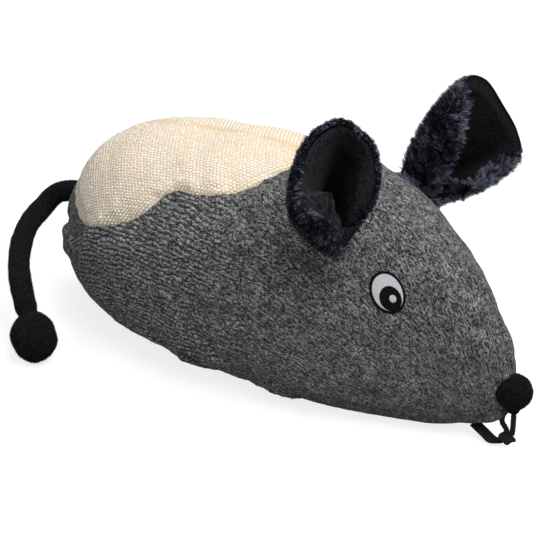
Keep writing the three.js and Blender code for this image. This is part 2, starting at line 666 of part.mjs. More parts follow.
function buildLoop(neckBottom) {
  const noseX = NOSE_CENTRE.x;
  const [chinX, lowX, knotX] = [LOOP_CHIN_SETBACK, LOOP_LOW_SETBACK, LOOP_KNOT_SETBACK]
    .map((setback) => noseX - setback);
  const chinZ = skinPoint(stationAt(2 * chinX / BODY_LENGTH), Math.PI).z;
  const tapeRoute = new THREE.CatmullRomCurve3([
    new THREE.Vector3(chinX, 0, chinZ - LOOP_THICKNESS),
    new THREE.Vector3((chinX + lowX) / 2, 0, (chinZ + LOOP_LOW_Z) / 2 - LOOP_THICKNESS),
    new THREE.Vector3(lowX, 0, LOOP_LOW_Z),
    new THREE.Vector3(knotX - KNOT_RADIUS - LOOP_THICKNESS, 0, LOOP_KNOT_Z - KNOT_RADIUS / 2),
  ]);
  const roundEnd = (s, share) => Math.min(1, share + Math.sqrt(s));
  const surface = (lift) => Array.from({ length: TAPE_ROWS + 1 }, (_, i) => {
    const s = i / TAPE_ROWS;
    const [at, along] = [tapeRoute.getPoint(s), tapeRoute.getTangent(s)];
    const up = new THREE.Vector3(-along.z, 0, along.x);
    const ends = Math.min(roundEnd(s, TAPE_END_SHARES[0]), roundEnd(1 - s, TAPE_END_SHARES[1]));
    const half = LOOP_WIDTH / 2 * ends;
    return [-1, 0, 1].map((side) => at.clone().addScaledVector(up, lift).setY(side * half));
  });
  const tape = sheet(surface(LOOP_THICKNESS / 2), surface(-LOOP_THICKNESS / 2));
  add('loop_tape', geometryOf(tape), finish.tape);

  const knotArc = arc(0, KNOT_RADIUS, -Math.PI / 2, Math.PI / 2, 2 * DOME_STEPS, KNOT_HEIGHT_SHARE);
  const knot = turned(knotArc, ROUND_SIDES);
  knot.translate(knotX, 0, LOOP_KNOT_Z);
  add('loop_knot', weld(knot), finish.tape);

  const from = LOOP_KNOT_Z + KNOT_RADIUS + TOUCH_GAP;
  const to = neckBottom - STRAND_RADIUS / 2 - TOUCH_GAP;
  const near = STRAND_RADIUS + TOUCH_GAP;
  const strand = (name, xs) => {
    const route = new THREE.CatmullRomCurve3(xs.map((x, i) => (
      new THREE.Vector3(x, 0, from + (to - from) * i / (xs.length - 1)))));
    const section = new THREE.Shape().absarc(0, 0, STRAND_RADIUS, 0, 2 * Math.PI);
    add(name, weld(new THREE.ExtrudeGeometry(section, {
      extrudePath: route, steps: STRAND_STEPS, curveSegments: STRAND_SIDES / 2,
    })), finish.tape);
  };
  strand('loop_strand_front', [knotX + near, knotX + 2 * near, noseX, noseX + near]);
  strand('loop_strand_rear', [knotX - near, knotX - STRAND_SPREAD / 2, knotX - near, noseX - near]);
}

// Tail: a stuffed tube in three stretches, each turning on the round end of the one before

const SOCKET_RADIUS = TAIL_RADIUS + TAIL_JOINT_GAP;

function tailFrame(route, place) {
  const share = THREE.MathUtils.clamp(place / route.getLength(), 0, 1);
  const [at, along] = [route.getPointAt(share), route.getTangentAt(share)];
  const across = new THREE.Vector3(0, 0, 1).cross(along).normalize();
  return { at, along, across, up: along.clone().cross(across) };
}

function bent(geometry, route, joints) {
  const points = geometry.getAttribute('position');
  for (let i = 0; i < points.count; i += 1) {
    const [x, place, z] = [points.getX(i), points.getY(i), points.getZ(i)];
    const joint = joints.find((j) => Math.abs(place - j) <= SOCKET_RADIUS);
    const { at, along, across, up } = tailFrame(route, joint ?? place);
    at.addScaledVector(along, place - (joint ?? place)).addScaledVector(across, x);
    at.addScaledVector(up, z).toArray(points.array, i * 3);
  }
  return weld(geometry);
}

function wallPlaces(from, to) {
  const length = to - from - 2 * SOCKET_RADIUS;
  const count = Math.max(1, Math.round(length / TAIL_RADIUS));
  return Array.from({ length: count + 1 }, (_, i) => from + SOCKET_RADIUS + length * i / count);
}

function socketPlace(joint, radius) {
  return joint + Math.sqrt(SOCKET_RADIUS ** 2 - radius ** 2);
}

function sleeveProfile(from, to) {
  const hollow = TAIL_RADIUS - FLEECE_THICKNESS;
  const walls = wallPlaces(from, to);
  const dome = (radius) => arc(to, radius, 0, DOME_TURN_SHARE * Math.PI / 2, DOME_STEPS);
  return [
    [hollow, socketPlace(from, hollow)], [TAIL_RADIUS, socketPlace(from, TAIL_RADIUS)],
    ...walls.map((place) => [TAIL_RADIUS, place]), ...dome(TAIL_RADIUS),
    ...dome(hollow).reverse(), ...walls.map((place) => [hollow, place]).reverse(),
    [hollow, socketPlace(from, hollow)],
  ];
}

function fillingProfile(from, to) {
  const radius = TAIL_RADIUS - FLEECE_THICKNESS - 2 * TOUCH_GAP;
  return [
    [0, socketPlace(from, 0)], [radius / 2, socketPlace(from, radius / 2)],
    [radius, socketPlace(from, radius)], ...wallPlaces(from, to).map((place) => [radius, place]),
    ...arc(to, radius, 0, Math.PI / 2, DOME_STEPS),
  ].reverse();
}

// Where an ellipse of the ball meets the socket that the tail's end turns in
function socketMeets(halfLength, halfWidth, socketAt) {
  let [low, high] = [0, Math.PI / 2];
  for (let i = 0; i < HALVINGS; i += 1) {
    const middle = (low + high) / 2;
    const away = Math.hypot(halfWidth * Math.cos(middle), halfLength * Math.sin(middle) - socketAt);
    if (away > SOCKET_RADIUS) low = middle;
    else high = middle;
  }
  return low;
}

function buildTailBall(centre, joint) {
  const toJoint = joint.clone().sub(centre);
  const socketAt = toJoint.length();
  const shell = (less) => {
    const [halfLength, halfWidth] = [TAIL_BALL_LENGTH / 2 - less, TAIL_BALL_WIDTH / 2 - less];
    const meets = socketMeets(halfLength, halfWidth, socketAt);
    const round = arc(0, halfWidth, -Math.PI / 2, meets, ARC_STEPS, halfLength / halfWidth);
    const rim = round[round.length - 1];
    return { round, rimAngle: Math.atan2(rim[1] - socketAt, rim[0]) };
  };
  const [outer, inner] = [shell(0), shell(FLEECE_THICKNESS)];
  const filling = shell(FLEECE_THICKNESS + TOUCH_GAP);
  const socket = (from, to, steps) => arc(socketAt, SOCKET_RADIUS, from, to, steps).slice(1);
  const cover = turned([
    ...outer.round, ...socket(outer.rimAngle, inner.rimAngle, 1), ...inner.round.slice(0, -1).reverse(),
  ], BALL_SIDES);
  const stuffed = turned([
    ...filling.round, ...socket(filling.rimAngle, -Math.PI / 2, DOME_STEPS),
  ], BALL_SIDES);
  const stand = new THREE.Quaternion().setFromUnitVectors(
    new THREE.Vector3(0, 1, 0), toJoint.normalize());
  for (const geometry of [cover, stuffed]) {
    geometry.applyQuaternion(stand).translate(centre.x, centre.y, centre.z);
  }
  add('tail_ball_cover', weld(cover), finish.fleece);
  add('tail_ball_filling', weld(stuffed), finish.stuffing);
}

function tailRoute() {
  const rootX = -BODY_LENGTH / 2 * TAIL_ROOT_X_SHARE;
  return new THREE.CatmullRomCurve3(TAIL_ROUTE_SHARES.map(([x, y, z]) => new THREE.Vector3(
    rootX + x * TAIL_LENGTH, y * TAIL_LENGTH, TAIL_ROOT_Z + z * TAIL_LENGTH)));
}

function tailJoints(route) {
  const end = route.getLength() - TAIL_BALL_LENGTH / 2 - TAIL_BALL_NECK;
  return [0, 1, 2, 3].map((i) => TAIL_STUB + (end - TAIL_STUB) * i / 3);
}

function buildTail() {
  const route = tailRoute();
  const joints = tailJoints(route);

  const stub = turned([
    [0, -OVERRUN], [TAIL_RADIUS, -OVERRUN], [TAIL_RADIUS, joints[0] - SOCKET_RADIUS],
    ...arc(joints[0], TAIL_RADIUS, 0, Math.PI / 2, DOME_STEPS + 1),
  ], ROUND_SIDES);
  add('tail_base', cut(bent(stub, route, joints), wholeBody(TOUCH_GAP)), finish.fleece);

  ['root', 'middle', 'tip'].forEach((name, i) => {
    const [from, to] = [joints[i], joints[i + 1]];
    const sleeve = bent(turned(sleeveProfile(from, to), ROUND_SIDES), route, joints);
    const filling = bent(turned(fillingProfile(from, to), ROUND_SIDES), route, joints);
    add(`tail_sleeve_${name}`, sleeve, finish.fleece);
    add(`tail_filling_${name}`, filling, finish.stuffing);
  });
  buildTailBall(route.getPointAt(1), tailFrame(route, joints[3]).at);
}

buildBody();
buildEyes();
buildEars();
buildLoop(buildNose());
buildTail();

export default toy;
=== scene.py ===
# A stuffed mouse toy for cats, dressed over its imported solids.
# Metres, +X to the nose, +Y to the mouse's left side, +Z up.
import math

import bmesh
import bpy
import numpy as np
from bpy.props import FloatProperty, FloatVectorProperty, IntProperty, PointerProperty
from mathutils import Matrix, Vector


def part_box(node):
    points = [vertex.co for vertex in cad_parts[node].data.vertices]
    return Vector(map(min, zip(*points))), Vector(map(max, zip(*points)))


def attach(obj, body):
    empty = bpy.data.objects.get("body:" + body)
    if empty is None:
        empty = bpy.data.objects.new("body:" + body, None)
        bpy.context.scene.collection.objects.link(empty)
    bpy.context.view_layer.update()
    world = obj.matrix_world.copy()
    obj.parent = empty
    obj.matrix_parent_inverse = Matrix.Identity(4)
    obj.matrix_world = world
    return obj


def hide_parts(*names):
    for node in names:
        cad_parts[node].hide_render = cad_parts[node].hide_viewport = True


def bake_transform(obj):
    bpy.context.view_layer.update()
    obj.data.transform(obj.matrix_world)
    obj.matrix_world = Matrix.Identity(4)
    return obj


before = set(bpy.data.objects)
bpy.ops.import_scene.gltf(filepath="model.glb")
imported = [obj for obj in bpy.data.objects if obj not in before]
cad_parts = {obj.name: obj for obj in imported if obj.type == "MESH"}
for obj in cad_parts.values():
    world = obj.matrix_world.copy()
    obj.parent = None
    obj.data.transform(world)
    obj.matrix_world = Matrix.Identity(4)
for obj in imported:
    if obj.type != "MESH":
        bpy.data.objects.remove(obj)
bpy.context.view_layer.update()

bl_info = {
    "name": "Mouse cat toy",
    "version": (1, 0, 0),
    "blender": (4, 5, 0),
    "location": "View3D > Sidebar > Mouse toy",
    "description": "Dresses the packed solids of a stuffed mouse toy",
    "category": "Object",
}

# The body's loft, in metres and in shares, as the solids have it
BODY_LENGTH = 0.420
BODY_WIDTH = 0.184
BODY_HEIGHT = 0.179
BELLY_PRESS = 0.0008
HALF_WIDTH_SHARES = [0.905, 0.956, 1.02, 0.886, 0.493, 0.274]
RISE_SHARES = [0.644, 0.616, 0.526, 0.55, 0.474, 0.281]
WAIST_SHARES = [0.2611, 0.4573, 0.3017]
RUMP_ROUNDNESS, NOSE_ROUNDNESS, DROP_ROUNDNESS = 2.24, 2.29, 4
BACK_ROUNDNESS, BELLY_ROUNDNESS = 1.98, 2.8
RUMP_SEAM_PLACE = -0.81905
PATCH_TIP_PLACE = 0.18
SLANT_END_PLACE = -0.23333
PATCH_EDGE = [
    (-0.819, 0.405), (-0.781, 0.414), (-0.708, 0.413), (-0.621, 0.402), (-0.489, 0.377),
    (-0.406, 0.352), (-0.351, 0.325), (-0.317, 0.299), (-0.28, 0.26), (-0.2333, 0.236),
    (-0.165, 0.24), (-0.073, 0.232), (-0.002, 0.211), (0.042, 0.186), (0.086, 0.134),
    (0.13, 0.075), (0.18, 0.0),
]
RUMP_SLANT = [
    (0, -0.935), (0.1, -0.93), (0.2, -0.913), (0.258, -0.889), (0.299, -0.862),
    (0.353, -0.806), (0.405, -0.735), (0.45, -0.725), (0.55, -0.765), (0.65, -0.819), (1, -0.819),
]
BELLY_EDGE = [
    (-1, 0.62), (-0.773, 0.697), (-0.677, 0.724), (-0.55, 0.744), (-0.351, 0.762),
    (0, 0.785), (0.588, 0.81), (1, 0.82),
]
NOSE_CENTRE = Vector((0.2116, 0.0, 0.0466))
NOSE_RADIUS = 0.0132
BODY_HEART = np.array([0.0, 0.0, 0.07])
SMALL_STEP = 0.002


class BodySizes(bpy.types.PropertyGroup):
    weave_across: FloatProperty(
        name="Weave pitch across", description="Spacing of the sisal yarns that run round the body",
        default=0.00168, unit="LENGTH")
    weave_along: FloatProperty(
        name="Weave pitch along", description="Spacing of the sisal yarns that run along the body",
        default=0.0023, unit="LENGTH")
    weave_relief: FloatProperty(
        name="Weave relief", description="Height of the sisal yarns", default=0.0005, unit="LENGTH")
    rib_pitch: FloatProperty(
        name="Rib pitch", description="Spacing of the knitted rows", default=0.0036, unit="LENGTH")
    stitch_pitch: FloatProperty(
        name="Stitch pitch", description="Spacing of stitches along a row",
        default=0.0044, unit="LENGTH")
    rib_relief: FloatProperty(
        name="Rib relief", description="Height of the knitted rows", default=0.0011, unit="LENGTH")
    fibre_length: FloatProperty(
        name="Fibre length", description="Length of the loose fibres of the knit",
        default=0.0034, unit="LENGTH")
    fibres: IntProperty(
        name="Fibres", description="Loose fibres on each side of the body", default=30000)


class EarSizes(bpy.types.PropertyGroup):
    pile_length: FloatProperty(
        name="Pile length", description="Length of the fur of the ears",
        default=0.0048, unit="LENGTH")
    hairs: IntProperty(name="Hairs", description="Hairs on each ear", default=38000)


class ToyColours(bpy.types.PropertyGroup):
    sisal: FloatVectorProperty(
        name="Sisal", description="Lit yarn of the scratch patch", subtype="COLOR",
        default=(0.84, 0.825, 0.8))
    sisal_gap: FloatVectorProperty(
        name="Sisal gap", description="Shade between the yarns", subtype="COLOR",
        default=(0.44, 0.325, 0.18))
    knit_dark: FloatVectorProperty(
        name="Knit, dark", description="Dark fibres of the knit", subtype="COLOR",
        default=(0.010, 0.010, 0.011))
    knit_light: FloatVectorProperty(
        name="Knit, light", description="Light fibres of the knit", subtype="COLOR",
        default=(0.42, 0.42, 0.426))
    fur: FloatVectorProperty(
        name="Fur", description="Pile of the ears", subtype="COLOR", default=(0.010, 0.011, 0.017))
    fleece: FloatVectorProperty(
        name="Fleece", description="Nose, tail and ear lining", subtype="COLOR",
        default=(0.005, 0.005, 0.0056))
    white_thread: FloatVectorProperty(
        name="White thread", description="White of the eyes", subtype="COLOR",
        default=(0.56, 0.56, 0.59))


# Shader nodes

# The sockets of a mix node that blends colours
MIX_SHARE, MIX_FIRST, MIX_SECOND, MIX_RESULT = 0, 6, 7, 2


def feed(tree, socket, value):
    """Links a socket to another node's, or sets its value."""
    if isinstance(value, bpy.types.NodeSocket):
        tree.links.new(value, socket)
    else:
        socket.default_value = value


def add_node(tree, kind, inputs=None, **settings):
    made = tree.nodes.new(kind)
    for name, value in settings.items():
        setattr(made, name, value)
    for name, value in (inputs or {}).items():
        feed(tree, made.inputs[name], value)
    return made


def sums(tree, operation, first, second=0.0, third=None):
    made = add_node(tree, "ShaderNodeMath", operation=operation)
    for i, value in enumerate((first, second, third)):
        if value is not None:
            feed(tree, made.inputs[i], value)
    return made.outputs[0]


def blended(tree, share, first, second):
    """Two colours mixed by a share; each may be a socket or a plain colour."""
    made = add_node(tree, "ShaderNodeMix", data_type="RGBA")
    feed(tree, made.inputs[MIX_SHARE], share)
    for i, colour in ((MIX_FIRST, first), (MIX_SECOND, second)):
        plain_colour = not isinstance(colour, bpy.types.NodeSocket)
        feed(tree, made.inputs[i], (*colour, 1) if plain_colour else colour)
    return made.outputs[MIX_RESULT]


def shade(colour, share):
    """A colour made darker or lighter."""
    return tuple(part * share for part in colour)


def node_group(name, inputs, outputs):
    group = bpy.data.node_groups.new(name, "ShaderNodeTree")
    for label, kind, default in inputs:
        socket = group.interface.new_socket(label, in_out="INPUT", socket_type=kind)
        if default is not None:
            socket.default_value = default
    for label, kind in outputs:
        group.interface.new_socket(label, in_out="OUTPUT", socket_type=kind)
    return group, group.nodes.new("NodeGroupInput"), group.nodes.new("NodeGroupOutput")


def melange_group():
    """Curled light and dark fibres, drawn out a little along the rows of a map in metres."""
    group, given, result = node_group(
        "Fibre mix",
        [("Rows", "NodeSocketVector", None), ("Vector", "NodeSocketVector", None),
         ("Size", "NodeSocketFloat", 0.001)],
        [("Light", "NodeSocketFloat"), ("Patches", "NodeSocketFloat"),
         ("Height", "NodeSocketFloat")])
    scale = sums(group, "DIVIDE", 1.0, given.outputs["Size"])
    drawn = add_node(group, "ShaderNodeTexNoise", {
        "Vector": add_node(group, "ShaderNodeMapping", {
            "Vector": given.outputs["Rows"], "Scale": (0.4, 0.95, 1.0)}).outputs[0],
        "Scale": scale, "Detail": 1.0, "Roughness": 0.6, "Distortion": 1.1}).outputs[0]
    grain = add_node(group, "ShaderNodeTexNoise", {
        "Vector": given.outputs["Vector"], "Scale": sums(group, "MULTIPLY", scale, 0.8),
        "Detail": 1.0, "Roughness": 0.6, "Distortion": 1.5}).outputs[0]
    curls = add_node(group, "ShaderNodeTexNoise", {
        "Vector": given.outputs["Vector"], "Scale": sums(group, "MULTIPLY", scale, 0.33),
        "Detail": 1.0, "Distortion": 2.5}).outputs[0]
    curl = sums(group, "SUBTRACT", 1.0, sums(group, "MULTIPLY", sums(
        group, "ABSOLUTE", sums(group, "SUBTRACT", curls, 0.5)), 18.0))
    wide = add_node(group, "ShaderNodeTexNoise", {
        "Vector": given.outputs["Vector"], "Scale": sums(group, "MULTIPLY", scale, 0.13),
        "Detail": 3.0}).outputs[0]
    mixed = sums(group, "MULTIPLY_ADD", drawn, 0.55, sums(group, "MULTIPLY", grain, 0.45))
    light = add_node(group, "ShaderNodeMapRange", {
        "Value": mixed, "From Min": 0.47, "From Max": 0.6}).outputs[0]
    light = sums(group, "MULTIPLY_ADD", sums(group, "MAXIMUM", curl, 0.0), 0.28, light)
    patches = add_node(group, "ShaderNodeMapRange", {
        "Value": wide, "From Min": 0.32, "From Max": 0.7})
    group.links.new(light, result.inputs["Light"])
    group.links.new(patches.outputs[0], result.inputs["Patches"])
    group.links.new(mixed, result.inputs["Height"])
    return group


def weave_group():
    """Plain weave of two yarns, from a map in metres."""
    group, given, result = node_group(
        "Plain weave",
        [("Map", "NodeSocketVector", None), ("Across", "NodeSocketFloat", 0.0017),
         ("Along", "NodeSocketFloat", 0.0023)],
        [("Height", "NodeSocketFloat"), ("Yarn", "NodeSocketFloat")])
    split = add_node(group, "ShaderNodeSeparateXYZ", {"Vector": given.outputs["Map"]})
    wobble = add_node(group, "ShaderNodeTexNoise", {
        "Vector": given.outputs["Map"], "Scale": 230.0, "Detail": 2.0})
    shift = sums(group, "MULTIPLY", sums(group, "SUBTRACT", wobble.outputs[0], 0.5), 1.8)
    v = sums(group, "ADD", sums(group, "DIVIDE", split.outputs[1], given.outputs["Along"]), shift)
    slant = sums(group, "MULTIPLY", sums(group, "SUBTRACT", v, sums(group, "ROUND", v)), 0.5)
    u = sums(group, "ADD", sums(group, "DIVIDE", split.outputs[0], given.outputs["Across"]),
             sums(group, "SUBTRACT", slant, shift))
    cu = sums(group, "COSINE", sums(group, "MULTIPLY", u, math.pi))
    cv = sums(group, "COSINE", sums(group, "MULTIPLY", v, math.pi))

    def round_yarn(wave):
        height = sums(group, "POWER", sums(group, "ABSOLUTE", wave), 0.6)
        return sums(group, "MULTIPLY", height, 0.5)

    along = sums(group, "MULTIPLY_ADD", sums(group, "MULTIPLY", cu, sums(group, "SIGN", cv)), 0.5,
                 round_yarn(cv))
    across = sums(group, "MULTIPLY_ADD", sums(group, "MULTIPLY", cv, sums(group, "SIGN", cu)), -0.5,
                  round_yarn(cu))
    height = sums(group, "MAXIMUM", sums(group, "MULTIPLY", along, 0.56), across)
    cell = add_node(group, "ShaderNodeCombineXYZ", {
        0: sums(group, "ROUND", u), 1: sums(group, "MULTIPLY", sums(group, "ROUND", v), 0.13)})
    tone = add_node(group, "ShaderNodeTexWhiteNoise", {"Vector": cell.outputs[0]})
    group.links.new(height, result.inputs["Height"])
    group.links.new(tone.outputs[0], result.inputs["Yarn"])
    return group


def nap_group():
    """The short nap of a fleece or a felted face."""
    group, given, result = node_group(
        "Fleece nap",
        [("Vector", "NodeSocketVector", None), ("Size", "NodeSocketFloat", 0.0008)],
        [("Height", "NodeSocketFloat"), ("Tufts", "NodeSocketFloat")])
    scale = sums(group, "DIVIDE", 1.0, given.outputs["Size"])
    fine = add_node(group, "ShaderNodeTexNoise", {
        "Vector": given.outputs["Vector"], "Scale": scale, "Detail": 4.0, "Roughness": 0.7})
    cells = add_node(group, "ShaderNodeTexVoronoi", {
        "Vector": given.outputs["Vector"], "Scale": sums(group, "MULTIPLY", scale, 0.45)})
    group.links.new(sums(group, "SUBTRACT", fine.outputs[0],
                         sums(group, "MULTIPLY", cells.outputs[0], 0.35)), result.inputs["Height"])
    group.links.new(cells.outputs[0], result.inputs["Tufts"])
    return group


def thread_group():
    """Satin stitches that lie side by side along one direction of a map."""
    group, given, result = node_group(
        "Satin stitch",
        [("Map", "NodeSocketVector", None), ("Pitch", "NodeSocketFloat", 0.0004)],
        [("Height", "NodeSocketFloat"), ("Thread", "NodeSocketFloat")])
    split = add_node(group, "ShaderNodeSeparateXYZ", {"Vector": given.outputs["Map"]})
    place = sums(group, "DIVIDE", split.outputs[0], given.outputs["Pitch"])
    height = sums(group, "ABSOLUTE", sums(group, "SINE", sums(group, "MULTIPLY", place, math.pi)))
    number = sums(group, "FLOOR", place)
    tone = add_node(group, "ShaderNodeTexWhiteNoise", {"Vector": add_node(
        group, "ShaderNodeCombineXYZ", {0: number}).outputs[0]})
    group.links.new(height, result.inputs["Height"])
    group.links.new(tone.outputs[0], result.inputs["Thread"])
    return group


GROUPS = {}


def shared(tree, name, inputs):
    makers = {
        "Fibre mix": melange_group, "Plain weave": weave_group,
        "Fleece nap": nap_group, "Satin stitch": thread_group,
    }
    if name not in GROUPS:
        GROUPS[name] = makers[name]()
    made = tree.nodes.new("ShaderNodeGroup")
    made.node_tree = GROUPS[name]
    for label, value in inputs.items():
        feed(tree, made.inputs[label], value)
    return made


def new_material(
        name, roughness, sheen=0.0, sheen_tint=(1, 1, 1), sheen_roughness=0.5, specular=0.2):
    material = bpy.data.materials.new(name)
    material.use_nodes = True
    shader = material.node_tree.nodes["Principled BSDF"]
    shader.inputs["Roughness"].default_value = roughness
    shader.inputs["Specular IOR Level"].default_value = specular
    shader.inputs["Sheen Weight"].default_value = sheen
    shader.inputs["Sheen Roughness"].default_value = sheen_roughness
    shader.inputs["Sheen Tint"].default_value = (*sheen_tint, 1)
    return material, material.node_tree, shader


def bump(tree, shader, height, distance, strength=1.0):
    made = add_node(tree, "ShaderNodeBump", {
        "Height": height, "Distance": distance, "Strength": strength})
    tree.links.new(made.outputs[0], shader.inputs["Normal"])


def object_place(tree):
    return add_node(tree, "ShaderNodeTexCoord").outputs["Object"]


def cloth_map(tree):
    return add_node(tree, "ShaderNodeUVMap", uv_map="cloth").outputs[0]


def attribute(tree, name):
    return add_node(tree, "ShaderNodeAttribute", attribute_name=name).outputs["Fac"]


KNIT_CURL_SIZE = 0.00115


def knit_finish(colours):
    material, tree, shader = new_material(
        "knit_melange", 0.95, sheen=0.14, sheen_tint=(0.8, 0.8, 0.82), specular=0.04)
    mix = shared(tree, "Fibre mix", {
        "Rows": cloth_map(tree), "Vector": object_place(tree), "Size": KNIT_CURL_SIZE})
    # Painted shade: the knit's colour is darkened in the valleys between the rows, read from their
    # relief
    raised = sums(tree, "MULTIPLY_ADD", attribute(tree, "relief"), 1.8, -0.23)
    share = sums(tree, "MULTIPLY", mix.outputs["Light"], sums(tree, "MAXIMUM", raised, 0.05))
    patches = sums(tree, "MULTIPLY_ADD", mix.outputs["Patches"], 0.7, 0.55)
    share = sums(tree, "MULTIPLY", share, patches)
    tree.links.new(blended(tree, share, colours.knit_dark, colours.knit_light),
                   shader.inputs["Base Color"])
    height = sums(tree, "MULTIPLY_ADD", mix.outputs["Light"], 0.25, mix.outputs["Height"])
    bump(tree, shader, height, 0.0016)
    return material


STRAINED_YARN = (0.62, 0.47, 0.25)
# Painted light: the lighter yarn colour low on the patch, and the heights between which it gives
# way to the usual one
LOW_YARN_PAINTED_LIGHT = (1.0, 0.96, 0.86)
PATCH_LOW, PATCH_HIGH = 0.09, 0.15


def sisal_finish(colours, sizes):
    """Yarns with painted light on their tops and painted shade in the weave's gaps, browner where
    the spine seam strains them; low on the patch the gaps are painted darker and the yarns lighter.
    """
    material, tree, shader = new_material("woven_sisal", 0.75, sheen=0.05, specular=0.15)
    cloth = cloth_map(tree)
    weave = shared(tree, "Plain weave", {
        "Map": cloth, "Across": sizes.weave_across, "Along": sizes.weave_along})
    strands = add_node(tree, "ShaderNodeTexNoise", {
        "Vector": add_node(tree, "ShaderNodeMapping", {
            "Vector": cloth, "Rotation": (0.0, 0.0, 0.35), "Scale": (1.0, 0.3, 1.0)}).outputs[0],
        "Scale": 1900.0, "Detail": 2.0})
    depth = add_node(tree, "ShaderNodeMapRange", {
        "Value": weave.outputs["Height"], "From Min": 0.36, "From Max": 0.74}).outputs[0]
    warm = blended(tree, weave.outputs["Yarn"], shade(colours.sisal, 0.92),
                   tuple(min(1.0, part) for part in shade(colours.sisal, 1.12)))
    streaked = blended(tree, sums(tree, "MULTIPLY", strands.outputs[0], 0.3), warm,
                       shade(colours.sisal, 0.66))
    strained = blended(tree, sums(tree, "MULTIPLY", attribute(tree, "gather"), 0.55), streaked,
                       STRAINED_YARN)
    # Painted light by height: low on the patch the gaps are painted darker and the yarns lighter,
    # higher up the gaps are lighter
    height_up = add_node(tree, "ShaderNodeSeparateXYZ", {"Vector": object_place(tree)}).outputs[2]
    painted_light_by_height = add_node(tree, "ShaderNodeMapRange", {
        "Value": height_up, "From Min": PATCH_LOW, "From Max": PATCH_HIGH}).outputs[0]
    gap = blended(tree, painted_light_by_height, shade(colours.sisal_gap, 0.8), shade(colours.sisal_gap, 1.5))
    lit = blended(tree, painted_light_by_height, LOW_YARN_PAINTED_LIGHT, strained)
    yarn = blended(tree, 0.6, strained, lit)
    tree.links.new(blended(tree, depth, gap, yarn), shader.inputs["Base Color"])
    height = sums(tree, "MULTIPLY_ADD", strands.outputs[0], 0.3, weave.outputs["Height"])
    bump(tree, shader, height, 0.0009)
    return material


def fleece_finish(colours, name="black_fleece", size=0.0009, lift=1.0):
    """Matt nap. A lining's colour is painted lighter or darker by lift for each ear, with painted
    shade along its crease and deep in the cup.
    """
    material, tree, shader = new_material(
        name, 0.95, sheen=0.03, sheen_tint=(0.5, 0.5, 0.55), sheen_roughness=0.4, specular=0.02)
    nap = shared(tree, "Fleece nap", {"Vector": object_place(tree), "Size": size})
    share = add_node(tree, "ShaderNodeMapRange", {
        "Value": nap.outputs["Height"], "From Min": 0.12, "From Max": 0.48}).outputs[0]
    # lift scales the colour; for the ear linings it is painted light
    low, high = (shade(colours.fleece, part * lift) for part in (0.15, 2.8))
    shaded = blended(tree, share, low, high)
    # Painted shade on the linings, from the mesh's crease attribute
    if name.startswith("lining"):
        shaded = blended(tree, attribute(tree, "painted_crease_shade"), shaded, shade(colours.fleece, 0.35))
    tree.links.new(shaded, shader.inputs["Base Color"])
    bump(tree, shader, nap.outputs["Height"], 0.0012)
    return material


def fur_ground_finish(colours):
    material, tree, shader = new_material("fur_backing", 0.95, specular=0.02)
    nap = shared(tree, "Fleece nap", {"Vector": object_place(tree), "Size": 0.002})
    tree.links.new(blended(tree, nap.outputs["Tufts"], shade(colours.fur, 0.4), colours.fur),
                   shader.inputs["Base Color"])
    bump(tree, shader, nap.outputs["Height"], 0.0015)
    return material


def fibre_finish(name, colour, roughness=0.8, specular=0.05):
    material, _, shader = new_material(name, roughness, specular=specular)
    shader.inputs["Base Color"].default_value = (*colour, 1)
    return material


def thread_finish(name, colour, pitch=0.00042, specular=0.03):
    material, tree, shader = new_material(name, 0.8, specular=specular)
    stitch = shared(tree, "Satin stitch", {"Map": cloth_map(tree), "Pitch": pitch})
    # Painted shade in the grooves between the stitches, with a random tone for each thread
    share = sums(tree, "MULTIPLY", stitch.outputs["Height"],
                 sums(tree, "MULTIPLY_ADD", stitch.outputs["Thread"], 0.4, 0.6))
    tree.links.new(blended(tree, share, shade(colour, 0.62), colour), shader.inputs["Base Color"])
    bump(tree, shader, stitch.outputs["Height"], 0.00022, 0.7)
    return material


def stuffing_finish():
    material, tree, shader = new_material("fibre_stuffing", 0.95)
    nap = shared(tree, "Fleece nap", {"Vector": object_place(tree), "Size": 0.006})
    tree.links.new(blended(tree, nap.outputs["Height"], (0.62, 0.62, 0.6), (0.85, 0.85, 0.84)),
                   shader.inputs["Base Color"])
    bump(tree, shader, nap.outputs["Height"], 0.004)
    return material


MATERIALS = {}
HAIR_TIP = Vector((0.17, 0.18, 0.24))
TAPE_BLACK = (0.017, 0.017, 0.021)
THREAD_BLACK = (0.0055, 0.0055, 0.006)
LINING_NAP = 0.0010
# Painted light: the right ear's lining is made lighter as if lit, the left one a little darker as
# if shaded
LINING_PAINTED_LIGHT = {"left": 0.9, "right": 2.4}
TAPE_PITCH = 0.0009


